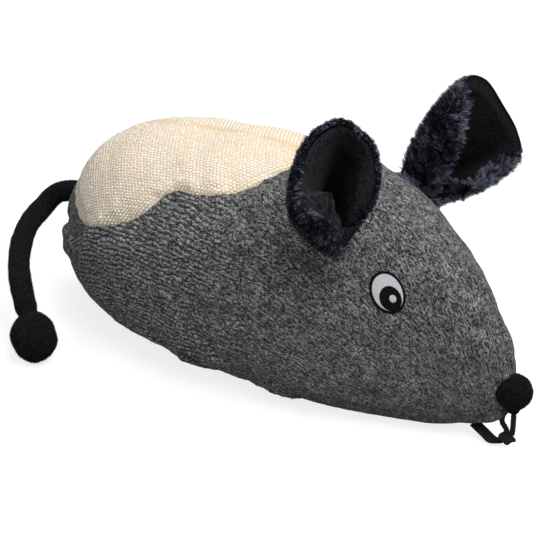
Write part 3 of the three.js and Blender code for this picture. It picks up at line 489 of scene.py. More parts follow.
def finish_of(name):
    """The finish of that name, made when it is first asked for."""
    scene = bpy.context.scene
    colours, sizes = scene.toy_colours, scene.toy_body
    light, dark = Vector(colours.knit_light), Vector(colours.knit_dark)
    fur = Vector(colours.fur)
    makers = {
        "knit": lambda: knit_finish(colours),
        "sisal": lambda: sisal_finish(colours, sizes),
        "fleece": lambda: fleece_finish(colours),
        "lining_left": lambda: fleece_finish(
            colours, "lining_fleece_shaded_left", LINING_NAP, LINING_PAINTED_LIGHT["left"]),
        "lining_right": lambda: fleece_finish(
            colours, "lining_fleece_lit_right", LINING_NAP, LINING_PAINTED_LIGHT["right"]),
        "fur_ground": lambda: fur_ground_finish(colours),
        "fibre_light": lambda: fibre_finish("fibre_light", light * 1.3),
        "fibre_middle": lambda: fibre_finish("fibre_middle", light * 0.24),
        "fibre_dark": lambda: fibre_finish("fibre_dark", dark),
        "hair_dark": lambda: fibre_finish("hair_dark", fur * 0.5, 0.6, specular=0.1),
        "hair_middle": lambda: fibre_finish("hair_middle", fur * 1.9, 0.5, specular=0.25),
        "hair_tip": lambda: fibre_finish("hair_tip", HAIR_TIP, 0.5, specular=0.3),
        "nap": lambda: fibre_finish("nap_fibre", Vector(colours.fleece) * 1.3, specular=0.02),
        "tape": lambda: thread_finish("black_tape", TAPE_BLACK, TAPE_PITCH, 0.05),
        "black_thread": lambda: thread_finish("black_thread", THREAD_BLACK),
        "white_thread": lambda: thread_finish("white_thread", tuple(colours.white_thread)),
        "stuffing": stuffing_finish,
    }
    if name not in MATERIALS:
        MATERIALS[name] = makers[name]()
    return MATERIALS[name]


# The body's surface

def smooth_share(shares, t):
    shares = np.asarray(shares, float)
    n = len(shares) - 1
    ahead, behind = np.append(shares[1:], shares[-1]), np.append(shares[0], shares[:-1])
    slope = (ahead - behind) / np.where((np.arange(n + 1) > 0) & (np.arange(n + 1) < n), 2, 1)
    i = np.minimum(np.floor(t * n).astype(int), n - 1)
    f = t * n - i
    return ((2 * f**3 - 3 * f**2 + 1) * shares[i] + (f**3 - 2 * f**2 + f) * slope[i]
            + (3 * f**2 - 2 * f**3) * shares[i + 1] + (f**3 - f**2) * slope[i + 1])


def station_at(place):
    return np.arccos(np.clip(-place, -1, 1)) / np.pi


def body_point(t, angle):
    """Points of the body's skin at stations (0 rump, 1 nose) and angles from the spine."""
    t, angle = np.broadcast_arrays(np.asarray(t, float), np.asarray(angle, float))
    place = -np.cos(np.pi * t)
    along = np.abs(place)
    roundness = np.where(t < 0.5, RUMP_ROUNDNESS, NOSE_ROUNDNESS)
    swell = np.maximum(1 - along**roundness, 0) ** (1 / roundness)
    half = swell * smooth_share(HALF_WIDTH_SHARES, t) * BODY_WIDTH / 2
    rise = swell * smooth_share(RISE_SHARES, t) * BODY_HEIGHT
    a, b, c = WAIST_SHARES
    waist = (a + t * (4 * b - 3 * a - c) + t * t * (2 * a + 2 * c - 4 * b)) * BODY_HEIGHT
    drop = waist * np.maximum(1 - along**DROP_ROUNDNESS, 0) ** (1 / DROP_ROUNDNESS)
    ca, sa = np.cos(angle), np.sin(angle)
    power = np.where(ca > 0, 2 / BACK_ROUNDNESS, 2 / BELLY_ROUNDNESS)
    height = waist + np.where(ca > 0, rise, -drop) * np.abs(ca) ** power - BELLY_PRESS
    return np.stack([
        place * BODY_LENGTH / 2,
        half * np.sign(sa) * np.abs(sa) ** power,
        height,
    ], axis=-1)


def unit(vectors):
    return vectors / np.maximum(np.linalg.norm(vectors, axis=-1, keepdims=True), 1e-12)


def body_frame(t, angle):
    """Unit vectors of the skin: forward, outward and sideways."""
    inside = np.clip(t, 2 * SMALL_STEP, 1 - 2 * SMALL_STEP)
    forward = unit(body_point(inside + SMALL_STEP, angle) - body_point(inside - SMALL_STEP, angle))
    around = body_point(inside, angle + SMALL_STEP) - body_point(inside, angle - SMALL_STEP)
    outward = unit(np.cross(forward, around))
    return forward, outward, np.cross(outward, forward)


RUMP_SEAM = station_at(RUMP_SEAM_PLACE)
PATCH_TIP = station_at(PATCH_TIP_PLACE)
SLANT_END = station_at(SLANT_END_PLACE)


CORNER_SOFTNESS = 0.006


def rounded_table(table, places):
    """A table's value with its corners a little rounded."""
    at, values = zip(*table)
    spread = np.linspace(-1, 1, 7)[:, None] * CORNER_SOFTNESS
    return np.interp(places[None, :] + spread, at, values).mean(0)


def table_angle(table, t):
    held = np.maximum(np.atleast_1d(t), RUMP_SEAM)
    return rounded_table(table, -np.cos(np.pi * held)) * np.pi


def patch_edge(t):
    return np.where(t < PATCH_TIP, table_angle(PATCH_EDGE, t), 0.0)


def belly_edge(t):
    return table_angle(BELLY_EDGE, t)


def slanted(t, angle):
    """Where a station lies at an angle: near the rump seam the stations slant with it."""
    share = np.abs(angle) / np.pi
    seam = station_at(np.interp(np.minimum(share, 2 - share), *zip(*RUMP_SLANT)))
    left = np.clip((SLANT_END - t) / (SLANT_END - RUMP_SEAM), 0, 1)
    return np.where(t <= RUMP_SEAM, t * seam / RUMP_SEAM, t + (seam - RUMP_SEAM) * left**2)


def waves(points, size, seed, count=24):
    """Smooth random waves of about that size, the same in each run."""
    rng = np.random.default_rng(seed)
    directions = unit(rng.normal(size=(count, 3)))
    phases = rng.uniform(0, 2 * np.pi, count)
    scales = rng.uniform(0.6, 1.6, count) * 2 * np.pi / size
    total = np.zeros(points.shape[:-1])
    for direction, phase, scale in zip(directions, phases, scales):
        total += np.sin(points @ direction * scale + phase)
    return total / math.sqrt(count / 2)


def fewer(*counts):
    return [count for count in counts]


# Meshes from Blender's own grids

def mesh_of(shape, name):
    mesh = bpy.data.meshes.new(name)
    shape.to_mesh(mesh)
    shape.free()
    return mesh


def grid_mesh(name, rows, columns):
    """A grid's mesh and the place of each vertex on it, from 0 to 1 both ways."""
    shape = bmesh.new()
    bmesh.ops.create_grid(shape, x_segments=rows, y_segments=columns, size=0.5)
    mesh = mesh_of(shape, name)
    places = coordinates_of(mesh)[:, :2] + 0.5
    return mesh, places


def coordinates_of(mesh):
    flat = np.empty(len(mesh.vertices) * 3, np.float32)
    mesh.vertices.foreach_get("co", flat)
    return flat.reshape(-1, 3).astype(float)


def move_to(mesh, points):
    mesh.vertices.foreach_set("co", np.asarray(points, np.float32).ravel())
    mesh.update()


def add_map(mesh, name, places):
    layer = mesh.uv_layers.new(name=name)
    corners = whole_numbers(mesh.loops, "vertex_index")
    layer.uv.foreach_set("vector", np.asarray(places, np.float32)[corners].ravel())


def add_value(mesh, name, values):
    attribute = mesh.attributes.new(name, "FLOAT", "POINT")
    attribute.data.foreach_set("value", np.asarray(values, np.float32))


def whole_numbers(items, field):
    numbers = np.empty(len(items), np.int32)
    items.foreach_get(field, numbers)
    return numbers


def turn_outwards(mesh, outward):
    """Flips the faces if most of them look away from the outward vectors of the vertices."""
    mesh.update()
    normals = np.empty(len(mesh.polygons) * 3, np.float32)
    mesh.polygons.foreach_get("normal", normals)
    first = whole_numbers(mesh.polygons, "loop_start")
    corners = whole_numbers(mesh.loops, "vertex_index")
    facing = (normals.reshape(-1, 3) * outward[corners[first]]).sum(-1)
    if np.median(facing) < 0:
        mesh.flip_normals()


def show(mesh, materials, body=None, smooth=True):
    made = bpy.data.objects.new(mesh.name, mesh)
    bpy.context.scene.collection.objects.link(made)
    for material in materials:
        mesh.materials.append(material)
    if smooth:
        mesh.shade_smooth()
    if body:
        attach(made, body)
    return made


def weld_seam(mesh, distance=1e-6):
    """Joins the vertices that lie on each other where a grid closes on itself."""
    shape = bmesh.new()
    shape.from_mesh(mesh)
    bmesh.ops.remove_doubles(shape, verts=shape.verts, dist=distance)
    shape.to_mesh(mesh)
    shape.free()


def joined(name, objects):
    """One object of several, which keep their materials."""
    bpy.ops.object.select_all(action="DESELECT")
    for made in objects:
        made.select_set(True)
    bpy.context.view_layer.objects.active = objects[0]
    bpy.ops.object.join()
    objects[0].name = name
    objects[0].data.name = name
    return objects[0]


# Hairs: one tapered ribbon, repeated by an array and laid from its roots

def hair_mesh(name, count, steps):
    """Tapered ribbons of unit length, one above the other, each with its number as its height."""
    shape = bmesh.new()
    bmesh.ops.create_grid(shape, x_segments=1, y_segments=steps, size=0.5)
    bmesh.ops.translate(shape, verts=shape.verts, vec=(0, 0.5, 0))
    tip = [vertex for vertex in shape.verts if vertex.co.y > 1 - 1e-4]
    bmesh.ops.pointmerge(shape, verts=tip, merge_co=(0, 1, 0))
    mesh = mesh_of(shape, name)
    holder = bpy.data.objects.new(name, mesh)
    bpy.context.scene.collection.objects.link(holder)
    array = holder.modifiers.new("hairs", "ARRAY")
    array.count = count
    array.use_relative_offset = False
    array.use_constant_offset = True
    array.constant_offset_displace = (0, 0, 1)
    bpy.context.view_layer.update()
    graph = bpy.context.evaluated_depsgraph_get()
    made = bpy.data.meshes.new_from_object(holder.evaluated_get(graph), depsgraph=graph)
    bpy.data.objects.remove(holder)
    bpy.data.meshes.remove(mesh)
    made.name = name
    return made


def lay_hairs(name, roots, directions, bends, sides, lengths, widths, materials, tones, steps=2):
    """Hairs that leave their roots along directions, droop along bends and are wide along sides."""
    mesh = hair_mesh(name, len(roots), steps)
    local = coordinates_of(mesh)
    number = np.clip(np.rint(local[:, 2]).astype(int), 0, len(roots) - 1)
    across, up = local[:, 0], local[:, 1]
    length, width = lengths[number][:, None], widths[number][:, None]
    points = (roots[number] + directions[number] * length * up[:, None]
              + bends[number] * length * (up**2)[:, None]
              + sides[number] * across[:, None] * width)
    move_to(mesh, points)
    made = show(mesh, materials)
    faces = len(mesh.polygons) // len(roots)
    mesh.polygons.foreach_set("material_index", np.repeat(tones, faces).astype(np.int32))
    return made


def scattered(rng, points, faces_of, count):
    """Random places on a mesh's faces, spread by area: face numbers and corner shares."""
    a, b, c, d = (points[faces_of[:, k]] for k in range(4))
    area = (np.linalg.norm(np.cross(b - a, c - a), axis=1)
            + np.linalg.norm(np.cross(c - a, d - a), axis=1))
    chosen = rng.choice(len(area), count, p=area / area.sum())
    s, t = rng.uniform(size=(2, count))
    weights = np.stack([(1 - s) * (1 - t), s * (1 - t), s * t, (1 - s) * t], axis=1)
    return chosen, weights


def quads_of(mesh):
    starts = whole_numbers(mesh.polygons, "loop_start")
    totals = whole_numbers(mesh.polygons, "loop_total")
    corners = whole_numbers(mesh.loops, "vertex_index")
    four = starts[totals == 4]
    return np.stack([corners[four + k] for k in range(4)], axis=1)


def face_normals(corners):
    """The normals of four-cornered faces, from their corners."""
    return unit(np.cross(corners[:, 2] - corners[:, 0], corners[:, 3] - corners[:, 1]))


# The stuffed form: cloth under pressure gives the body its slight fullness between the seams

FORM = {}
FORM_AROUND = 112
FORM_ALONG = 88
FORM_START_SHARE = 0.985
FILLING_FRAMES = 20
SEAM_REACH = 0.006
SEAM_SHRINK = 0.05
AROUND_REACH = 0.08
RUMP_REACH_SHARE = 1.3
EVENING_PASSES = 60
FULLNESS_GAIN = 1.4
FULLNESS_MOST = 0.0022


def near_seams(t, angle):
    """The numbers of the form's vertices that lie on a seam."""
    around = [np.abs(np.abs(angle) - edge(t)) * AROUND_REACH for edge in (patch_edge, belly_edge)]
    rump = slanted(np.full_like(t, RUMP_SEAM), angle)
    from_rump = np.abs(t - rump) * BODY_LENGTH * RUMP_REACH_SHARE
    return np.nonzero(np.minimum(np.minimum(*around), from_rump) < SEAM_REACH)[0]


def fill_with_pressure(form, seams):
    """Blows the cloth up, drawn in along its seams, and returns where its vertices come to lie."""
    group = form.vertex_groups.new(name="seams")
    for i in seams:
        group.add([int(i)], 1.0, "REPLACE")
    cloth = form.modifiers.new("filling", "CLOTH")
    settings = cloth.settings
    settings.quality = 5
    settings.mass = 0.3
    settings.tension_stiffness = 12
    settings.compression_stiffness = 12
    settings.bending_stiffness = 0.4
    settings.use_pressure = True
    settings.uniform_pressure_force = 4.0
    settings.vertex_group_shrink = "seams"
    settings.shrink_min = 0.0
    settings.shrink_max = SEAM_SHRINK
    settings.effector_weights.gravity = 0
    cloth.collision_settings.use_collision = False
    scene = bpy.context.scene
    for number in range(1, FILLING_FRAMES + 1):
        scene.frame_set(number)
    graph = bpy.context.evaluated_depsgraph_get()
    filled = coordinates_of(form.evaluated_get(graph).data)
    form.modifiers.clear()
    scene.frame_set(1)
    return filled


def evened(field):
    """The field's broad part: each place is the mean of itself and its neighbours, many times."""
    wide = field.copy()
    for _ in range(EVENING_PASSES):
        wide = (wide + np.roll(wide, 1, 1) + np.roll(wide, -1, 1)
                + np.vstack([wide[:1], wide[:-1]]) + np.vstack([wide[1:], wide[-1:]])) / 5
    return wide


def stuffed_field():
    """How far the filled cloth stands from the loft, at even stations and angles."""
    if "field" in FORM:
        return FORM["field"]
    shape = bmesh.new()
    bmesh.ops.create_uvsphere(shape, u_segments=FORM_AROUND, v_segments=FORM_ALONG, radius=1.0)
    mesh = mesh_of(shape, "stuffing_body")
    local = coordinates_of(mesh)
    t = np.arccos(np.clip(-local[:, 2], -1, 1)) / np.pi
    angle = np.arctan2(local[:, 1], local[:, 0])
    loft = body_point(t, angle)
    start = BODY_HEART + (loft - BODY_HEART) * FORM_START_SHARE
    move_to(mesh, start)
    turn_outwards(mesh, unit(start - BODY_HEART))
    form = bpy.data.objects.new("stuffing_body", mesh)
    bpy.context.scene.collection.objects.link(form)
    filled = fill_with_pressure(form, near_seams(t, angle))
    _, outward, _ = body_frame(t, angle)
    stood = ((filled - loft) * outward).sum(-1)
    rows = np.rint(t * FORM_ALONG).astype(int)
    columns = np.rint((angle / (2 * np.pi)) % 1 * FORM_AROUND).astype(int) % FORM_AROUND
    field = np.zeros((FORM_ALONG + 1, FORM_AROUND))
    field[rows, columns] = stood
    for row in (0, FORM_ALONG):
        field[row] = field[row].max() if field[row].max() > 0 else field[row].min()
    field = np.clip((field - evened(field)) * FULLNESS_GAIN, -FULLNESS_MOST, FULLNESS_MOST)
    FORM["field"], FORM["object"], FORM["places"] = field, form, (t, angle)
    return field


def fullness(t, angle):
    """The stuffed form's stand at any stations and angles."""
    field = stuffed_field()
    row = np.clip(t, 0, 1) * FORM_ALONG
    column = (angle / (2 * np.pi)) % 1 * FORM_AROUND
    r0 = np.minimum(row.astype(int), FORM_ALONG - 1)
    c0 = column.astype(int) % FORM_AROUND
    fr, fc = row - r0, column - np.floor(column)
    c1 = (c0 + 1) % FORM_AROUND
    return ((1 - fr) * ((1 - fc) * field[r0, c0] + fc * field[r0, c1])
            + fr * ((1 - fc) * field[r0 + 1, c0] + fc * field[r0 + 1, c1]))


# The patch's fuller crown: how far forward, how long and how high each swelling is
CROWN = [(-0.11, 0.06, 0.0034), (-0.03, 0.03, 0.0024)]
PATCH_CALM, HEAD_CALM = 0.7, 0.6
HEAD_FROM, HEAD_OVER = 0.04, 0.05
FLAT_BELOW = 0.012


def skin_place(t, angle, lift):
    """Points of the dressed skin, and which way is out."""
    base = body_point(t, angle)
    _, outward, _ = body_frame(t, angle)
    along = base[..., 0]
    inside = np.clip((patch_edge(t) - np.abs(angle)) / 0.14, 0, 1)
    head = np.clip((along - HEAD_FROM) / HEAD_OVER, 0, 1)
    soft = fullness(t, angle) * (1 - np.maximum(PATCH_CALM * inside, HEAD_CALM * head))
    dents = 0.0005 * waves(base, 0.055, 3) + 0.00025 * waves(base, 0.02, 4)
    soft = soft + dents * (1 - 0.4 * inside)
    filled = sum(rise * np.exp(-((along - at) / reach) ** 2) for at, reach, rise in CROWN)
    soft = soft + filled * np.clip(np.cos(angle), 0, 1) ** 1.5
    grounded = np.clip(base[..., 2] / FLAT_BELOW, 0, 1)
    points = base + outward * (soft * grounded + lift)[..., None]
    points[..., 2] = np.maximum(points[..., 2], 0.0)
    return points, outward


MERIDIAN_ANGLE = 0.9


def cloth_places(t, angle):
    """A map in metres: along the body, and round it from the spine."""
    share = np.linspace(0, 1, 65)
    fine = body_point(t[:, None], angle[:, None] * share[None, :])
    round_way = np.linalg.norm(np.diff(fine, axis=1), axis=2).sum(1)
    stations = np.linspace(0, 1, 400)
    meridian = body_point(stations, np.full_like(stations, MERIDIAN_ANGLE))
    return np.stack([np.interp(t, stations, lengths_along(meridian)), round_way], axis=1)


SEAM_DEPTH, SEAM_WIDTH, SEAM_DEEPEST = 0.0019, 0.0021, 0.0026
PUCKER_HEIGHT, PUCKER_REACH, PUCKER_START, PUCKER_SIZE = 0.0009, 0.007, 0.0016, 0.011


def seam_dip(distance):
    return -SEAM_DEPTH * np.exp(-(distance / SEAM_WIDTH) ** 1.3)


def seam_pucker(distance):
    """None on the seam itself, most just beside it, and none again further off."""
    return np.exp(-distance / PUCKER_REACH) * (1 - np.exp(-distance / PUCKER_START))


ROW_SLANT = 0.15
KNIT_LEVEL = 0.55
FELT_START, FELT_OVER, FELT_LEAST = 0.1, 0.13, 0.15


def knit_relief(cloth, sizes, points):
    """Rows of stitches along the body, from 0 to 1 high, felted flat towards the nose."""
    sway = 0.0007 * waves(points, 0.03, 11) + 0.0004 * waves(points, 0.008, 12)
    rib = (cloth[:, 1] - ROW_SLANT * cloth[:, 0] + sway) / sizes.rib_pitch
    row = np.floor(rib)
    stitch = (cloth[:, 0] + sway) / sizes.stitch_pitch + 0.5 * (row % 2) + 0.2 * np.sin(row * 7.1)
    ridge = np.abs(np.sin(np.pi * rib)) ** 0.8
    knob = 0.85 + 0.15 * np.cos(2 * np.pi * stitch)
    open_knit = np.clip((FELT_START - points[:, 0]) / FELT_OVER, 0, 1)
    felted = FELT_LEAST + (1 - FELT_LEAST) * open_knit
    return np.clip(KNIT_LEVEL + (ridge * knob - KNIT_LEVEL) * 1.3 * felted, 0, 1)


def weave_relief(cloth, sizes, points):
    """Where the yarns that run round the body come up over those that run along it."""
    uneven = 0.35 * waves(points, 0.006, 13)
    cu = np.cos(np.pi * (cloth[:, 0] / sizes.weave_across + uneven))
    cv = np.cos(np.pi * (cloth[:, 1] / sizes.weave_along + uneven))
    return 0.5 - 0.5 * cu * cv


def skin_panel(name, size, first, last, low, high, side, kind, seams, pull=1.0):
    """One sewn panel: stations from first to last, angles from low(t) to high(t).

    seams says how hard the edges at low, high, first and last are drawn in.
    """
    rows, columns = size
    sizes = bpy.context.scene.toy_body
    mesh, places = grid_mesh(name, rows, columns)
    row = first + (last - first) * places[:, 0]
    start, end = low(row), high(row)
    angle = start + (end - start) * places[:, 1]
    t = slanted(row, angle)
    base = body_point(t, angle)
    at_start, at_end = body_point(slanted(row, start), start), body_point(slanted(row, end), end)
    at_first = body_point(slanted(np.full_like(t, first), angle), angle)
    at_last = body_point(slanted(np.full_like(t, last), angle), angle)
    lift = np.zeros(len(t))
    pucker = np.zeros(len(t))
    for other, used in zip((at_start, at_end, at_first, at_last), seams):
        if used:
            away = np.linalg.norm(base - other, axis=1)
            lift += used * seam_dip(away)
            pucker = np.maximum(pucker, used**2 * seam_pucker(away))
    lift = np.maximum(lift, -SEAM_DEEPEST)
    lift += pull * PUCKER_HEIGHT * pucker * waves(base, PUCKER_SIZE, 7)
    cloth = cloth_places(t, angle)
    raise_cloth, height = {
        "sisal": (weave_relief, sizes.weave_relief), "knit": (knit_relief, sizes.rib_relief)}[kind]
    relief = raise_cloth(cloth, sizes, base)
    points, outward = skin_place(t, angle * side, lift + (relief - 0.6) * height)
    move_to(mesh, points)
    turn_outwards(mesh, outward)
    add_map(mesh, "cloth", cloth)
    add_map(mesh, "OFBake", places * 0.98 + 0.01)
    add_value(mesh, "relief", relief)
    along_spine = np.exp(-(np.linalg.norm(base - at_start, axis=1) / 0.0045) ** 2)
    add_value(mesh, "gather", along_spine * np.clip(0.45 + 0.8 * waves(base, 0.05, 9), 0, 1))
    panel = show(mesh, [finish_of(kind)], "body")
    return panel


FIBRE_WIDTHS = (0.00022, 0.00042)
FIBRE_TONES = [0.45, 0.78]
FIBRE_SUNK = 0.0003
# Near the floor the fibres lie flat and stay above it
FIBRE_FLAT_BELOW, FIBRE_ROOT_LEAST, FIBRE_LEAST = 0.004, 0.0006, 0.0002


def knit_fibres(name, panel, count, seed, length):
    """Loose curled fibres that lie along the rows of a panel and stand a little off it."""
    rng = np.random.default_rng(seed)
    mesh = panel.data
    points, quads = coordinates_of(mesh), quads_of(mesh)
    raised = np.empty(len(points), np.float32)
    mesh.attributes["relief"].data.foreach_get("value", raised)
    chosen, weights = scattered(rng, points, quads, count)
    corners = points[quads[chosen]]
    roots = (corners * weights[:, :, None]).sum(1)
    relief = (raised[quads[chosen]] * weights).sum(1)
    normals = face_normals(corners)
    normals = normals * np.sign((normals * (roots - BODY_HEART)).sum(1))[:, None]
    rows = np.array([1.0, 0, 0]) * rng.choice([-1, 1], count)[:, None]
    lean = unit(rng.normal(size=(count, 3)) * 0.8 + rows * 0.7)
    lean = unit(lean - normals * (lean * normals).sum(1)[:, None])
    standing = rng.uniform(0.02, 0.4, count) + 0.7 * (rng.uniform(size=count) < 0.06)
    directions = unit(normals * standing[:, None] + lean)
    sides = np.cross(lean, normals)
    curl = sides * rng.uniform(-0.9, 0.9, count)[:, None]
    curl = curl - normals * rng.uniform(0.1, 0.4, count)[:, None]
    lengths = length * rng.uniform(0.3, 0.8, count)
    widths = rng.uniform(*FIBRE_WIDTHS, count)
    # Painted shade: fibres in the valleys between the rows take darker tones, on top of a random
    # tone
    pale = rng.uniform(size=count) + 0.9 * (relief - 0.5) + 0.15 * waves(roots, 0.012, 5)
    tones = 2 - np.digitize(pale, FIBRE_TONES)
    roots = roots - normals * FIBRE_SUNK
    roots[:, 2] = np.maximum(roots[:, 2], FIBRE_ROOT_LEAST)
    low = roots[:, 2] < FIBRE_FLAT_BELOW
    directions[:, 2] = np.where(low, np.abs(directions[:, 2]) * 0.2, directions[:, 2])
    finishes = [finish_of(f"fibre_{tone}") for tone in ("light", "middle", "dark")]
    fibres = lay_hairs(
        name, roots, directions, curl, sides, lengths, widths, finishes, tones, steps=3)
    points = coordinates_of(fibres.data)
    points[:, 2] = np.maximum(points[:, 2], FIBRE_LEAST)
    move_to(fibres.data, points)
    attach(fibres, "body")


STUFFING_DEPTH, STUFFING_LEAST = 0.0034, 0.0025


class TOY_OT_stuffed_form(bpy.types.Operator):
    """Fills the body's cloth and keeps the shape it takes"""
    bl_idname = "toy.stuffed_form"
    bl_label = "Stuffed form"

    def execute(self, context):
        stuffed_field()
        form = FORM["object"]
        t, angle = FORM["places"]
        points, outward = skin_place(t, angle, -STUFFING_DEPTH)
        points[:, 2] = np.maximum(points[:, 2], STUFFING_LEAST)
        move_to(form.data, points)
        turn_outwards(form.data, outward)
        form.data.materials.append(finish_of("stuffing"))
        form.data.shade_smooth()
        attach(form, "body")
        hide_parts("stuffing_core")
        return {"FINISHED"}


class TOY_OT_knit_panels(bpy.types.Operator):
    """Makes the knitted sides, belly and rump with their loose fibres"""
    bl_idname = "toy.knit_panels"
    bl_label = "Knit panels"

    def execute(self, context):
        sizes = context.scene.toy_body
        fibres, length = sizes.fibres, sizes.fibre_length
        for side, word in ((1, "left"), (-1, "right")):
            panel = skin_panel(
                f"knit_side_{word}", fewer(440, 210), RUMP_SEAM, 1.0, patch_edge, belly_edge,
                side, "knit", seams=(1, 0.4, 0.5, 0))
            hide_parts(f"side_panel_{word}")
            knit_fibres(f"knit_fuzz_{word}", panel, *fewer(fibres), 21 + side, length)
        belly = skin_panel(
            "knit_belly", fewer(330, 150), RUMP_SEAM, 1.0, belly_edge,
            lambda t: 2 * np.pi - belly_edge(t), 1, "knit", seams=(0.4, 0.4, 0.5, 0))
        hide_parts("belly_panel")
        knit_fibres("knit_fuzz_belly", belly, *fewer(fibres // 3), 25, length * 0.7)
        weld_seam(belly.data)
        rump = skin_panel(
            "knit_rump", fewer(90, 330), 0.0, RUMP_SEAM, lambda t: t * 0 - np.pi,
            lambda t: t * 0 + np.pi, 1, "knit", seams=(0, 0, 0, 0.5), pull=0.3)
        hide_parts("rump_panel")
        weld_seam(rump.data)
        knit_fibres("knit_fuzz_rump", rump, *fewer(fibres // 4), 26, length)
        return {"FINISHED"}


class TOY_OT_scratch_patch(bpy.types.Operator):
    """Makes the two woven halves of the scratch patch"""
    bl_idname = "toy.scratch_patch"
    bl_label = "Scratch patch"

    def execute(self, context):
        for side, word in ((1, "left"), (-1, "right")):
            panel = skin_panel(
                f"sisal_{word}", fewer(420, 230), RUMP_SEAM, PATCH_TIP, lambda t: t * 0.0,
                patch_edge, side, "sisal", seams=(0.5, 1, 1, 1), pull=0.45)
            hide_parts(f"scratch_panel_{word}")
        return {"FINISHED"}


# Eyes

EYE_PLACE = 0.63143
EYE_ANGLE = 0.336 * math.pi
EYE_TILT = 0.232 * math.pi
EYE_LENGTH, EYE_WIDTH = 0.0294, 0.0254
EYE_OUTLINE = 0.0019
PUPIL_LENGTH, PUPIL_WIDTH = 0.0174, 0.0162
GLINT_DIAMETER = 0.0052
EYE_MIDDLE = (0.0, 0.0)
PUPIL_SHIFT = (0.123 * EYE_WIDTH, 0.11 * EYE_WIDTH)
GLINT_SHIFT = (0.104 * EYE_WIDTH, 0.176 * EYE_WIDTH)
# Which way the satin stitches of the eye's inside run
STITCH_TURN = np.array([[0.92, 0.39], [-0.39, 0.92]])


def eye_loop(length, width, shift, turn):
    """Places (down, along) about the eye's centre, on a tilted oval."""
    u, v = np.cos(turn) * length / 2, np.sin(turn) * width / 2
    return np.stack([
        u * math.cos(EYE_TILT) - v * math.sin(EYE_TILT) + shift[0],
        u * math.sin(EYE_TILT) + v * math.cos(EYE_TILT) + shift[1]], axis=-1)


def eye_places(flat, side, lift):
    """Points on the skin for places (down, along) about the eye's centre."""
    station = station_at(EYE_PLACE)

    def step_length(station_step, angle_step):
        ends = [body_point(np.array([station + share * station_step]),
                           np.array([EYE_ANGLE + share * angle_step])) for share in (0, 1)]
        return np.linalg.norm(ends[1] - ends[0]) / SMALL_STEP

    per_turn, per_station = step_length(0, SMALL_STEP), step_length(SMALL_STEP, 0)
    t = station + flat[:, 1] / per_station
    angle = (EYE_ANGLE + flat[:, 0] / per_turn) * side
    return skin_place(t, angle, lift)


def stitched(name, inner, outer, side, finish, bulge, base, rows, round_steps=120, band=False):
    """Satin stitches between two outlines on the skin: a raised band, or a flat-topped field."""
    mesh, places = grid_mesh(name, rows, round_steps)
    share, turn = places[:, 0], places[:, 1] * 2 * np.pi
    a, b = inner(turn), outer(turn)
    flat = a + (b - a) * places[:, :1]
    from_top = (2 * share - 1) ** 2 if band else share**4
    rise = bulge * np.sqrt(np.maximum(1 - from_top, 0))
    points, outward = eye_places(flat, side, base + rise)
    move_to(mesh, points)
    turn_outwards(mesh, outward)
    if band:
        radius = np.linalg.norm(eye_loop(EYE_LENGTH, EYE_WIDTH, EYE_MIDDLE, turn), axis=1).mean()
        add_map(mesh, "cloth", np.stack([turn * radius, flat[:, 0]], axis=1))
    else:
        add_map(mesh, "cloth", flat @ STITCH_TURN)
    weld_seam(mesh)
    return show(mesh, [finish_of(finish)])


class TOY_OT_eyes(bpy.types.Operator):
    """Embroiders the two eyes"""
    bl_idname = "toy.eyes"
    bl_label = "Eyes"

    def execute(self, context):
        def oval(length, width, shift):
            return lambda turn: eye_loop(length, width, shift, turn)

        less = 2 * EYE_OUTLINE
        eye = oval(EYE_LENGTH, EYE_WIDTH, EYE_MIDDLE)
        inside = oval(EYE_LENGTH - less, EYE_WIDTH - less, EYE_MIDDLE)
        pupil = oval(PUPIL_LENGTH, PUPIL_WIDTH, PUPIL_SHIFT)
        glint = oval(GLINT_DIAMETER, GLINT_DIAMETER, GLINT_SHIFT)
        pupil_middle, glint_middle = oval(0, 0, PUPIL_SHIFT), oval(0, 0, GLINT_SHIFT)
        # Each part's outlines, finish, bulge, stand and rows
        parts = {
            "outline": (inside, eye, "black_thread", 0.0007, 0.0006, 6, {"band": True}),
            "white": (pupil_middle, inside, "white_thread", 0.0004, 0.0006, 16, {}),
            "pupil": (pupil_middle, pupil, "black_thread", 0.0005, 0.0009, 12, {}),
            "glint": (glint_middle, glint, "white_thread", 0.0004, 0.0014, 6, {"round_steps": 48}),
        }
        for side, word in ((1, "left"), (-1, "right")):
            for part, (inner, outer, finish, bulge, stand, rows, more) in parts.items():
                piece = stitched(f"stitched_{part}_{word}", inner, outer, side, finish, bulge,
                                 stand, rows, **more)
                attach(piece, "body")
                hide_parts(f"eye_{part}_{word}")
        return {"FINISHED"}


# Curves, as the solids' rounded lines have them

def rounded_line(points, s):
    """Points of a centripetal curve through given points, s from 0 to 1 over the points."""
    points = np.asarray(points, float)
    last = len(points) - 1
    ahead = np.vstack([2 * points[0] - points[1], points, 2 * points[-1] - points[-2]])
    s = np.clip(np.asarray(s, float), 0, 1)
    i = np.minimum((s * last).astype(int), last - 1)
    w = (s * last - i)[..., None]
    p0, p1, p2, p3 = ahead[i], ahead[i + 1], ahead[i + 2], ahead[i + 3]
    d0 = np.linalg.norm(p1 - p0, axis=-1, keepdims=True) ** 0.5
    d1 = np.linalg.norm(p2 - p1, axis=-1, keepdims=True) ** 0.5
    d2 = np.linalg.norm(p3 - p2, axis=-1, keepdims=True) ** 0.5
    t1 = ((p1 - p0) / d0 - (p2 - p0) / (d0 + d1) + (p2 - p1) / d1) * d1
    t2 = ((p2 - p1) / d1 - (p3 - p1) / (d1 + d2) + (p3 - p2) / d2) * d1
    return (p1 + t1 * w + (-3 * p1 + 3 * p2 - 2 * t1 - t2) * w**2
            + (2 * p1 - 2 * p2 + t1 + t2) * w**3)


# Ears

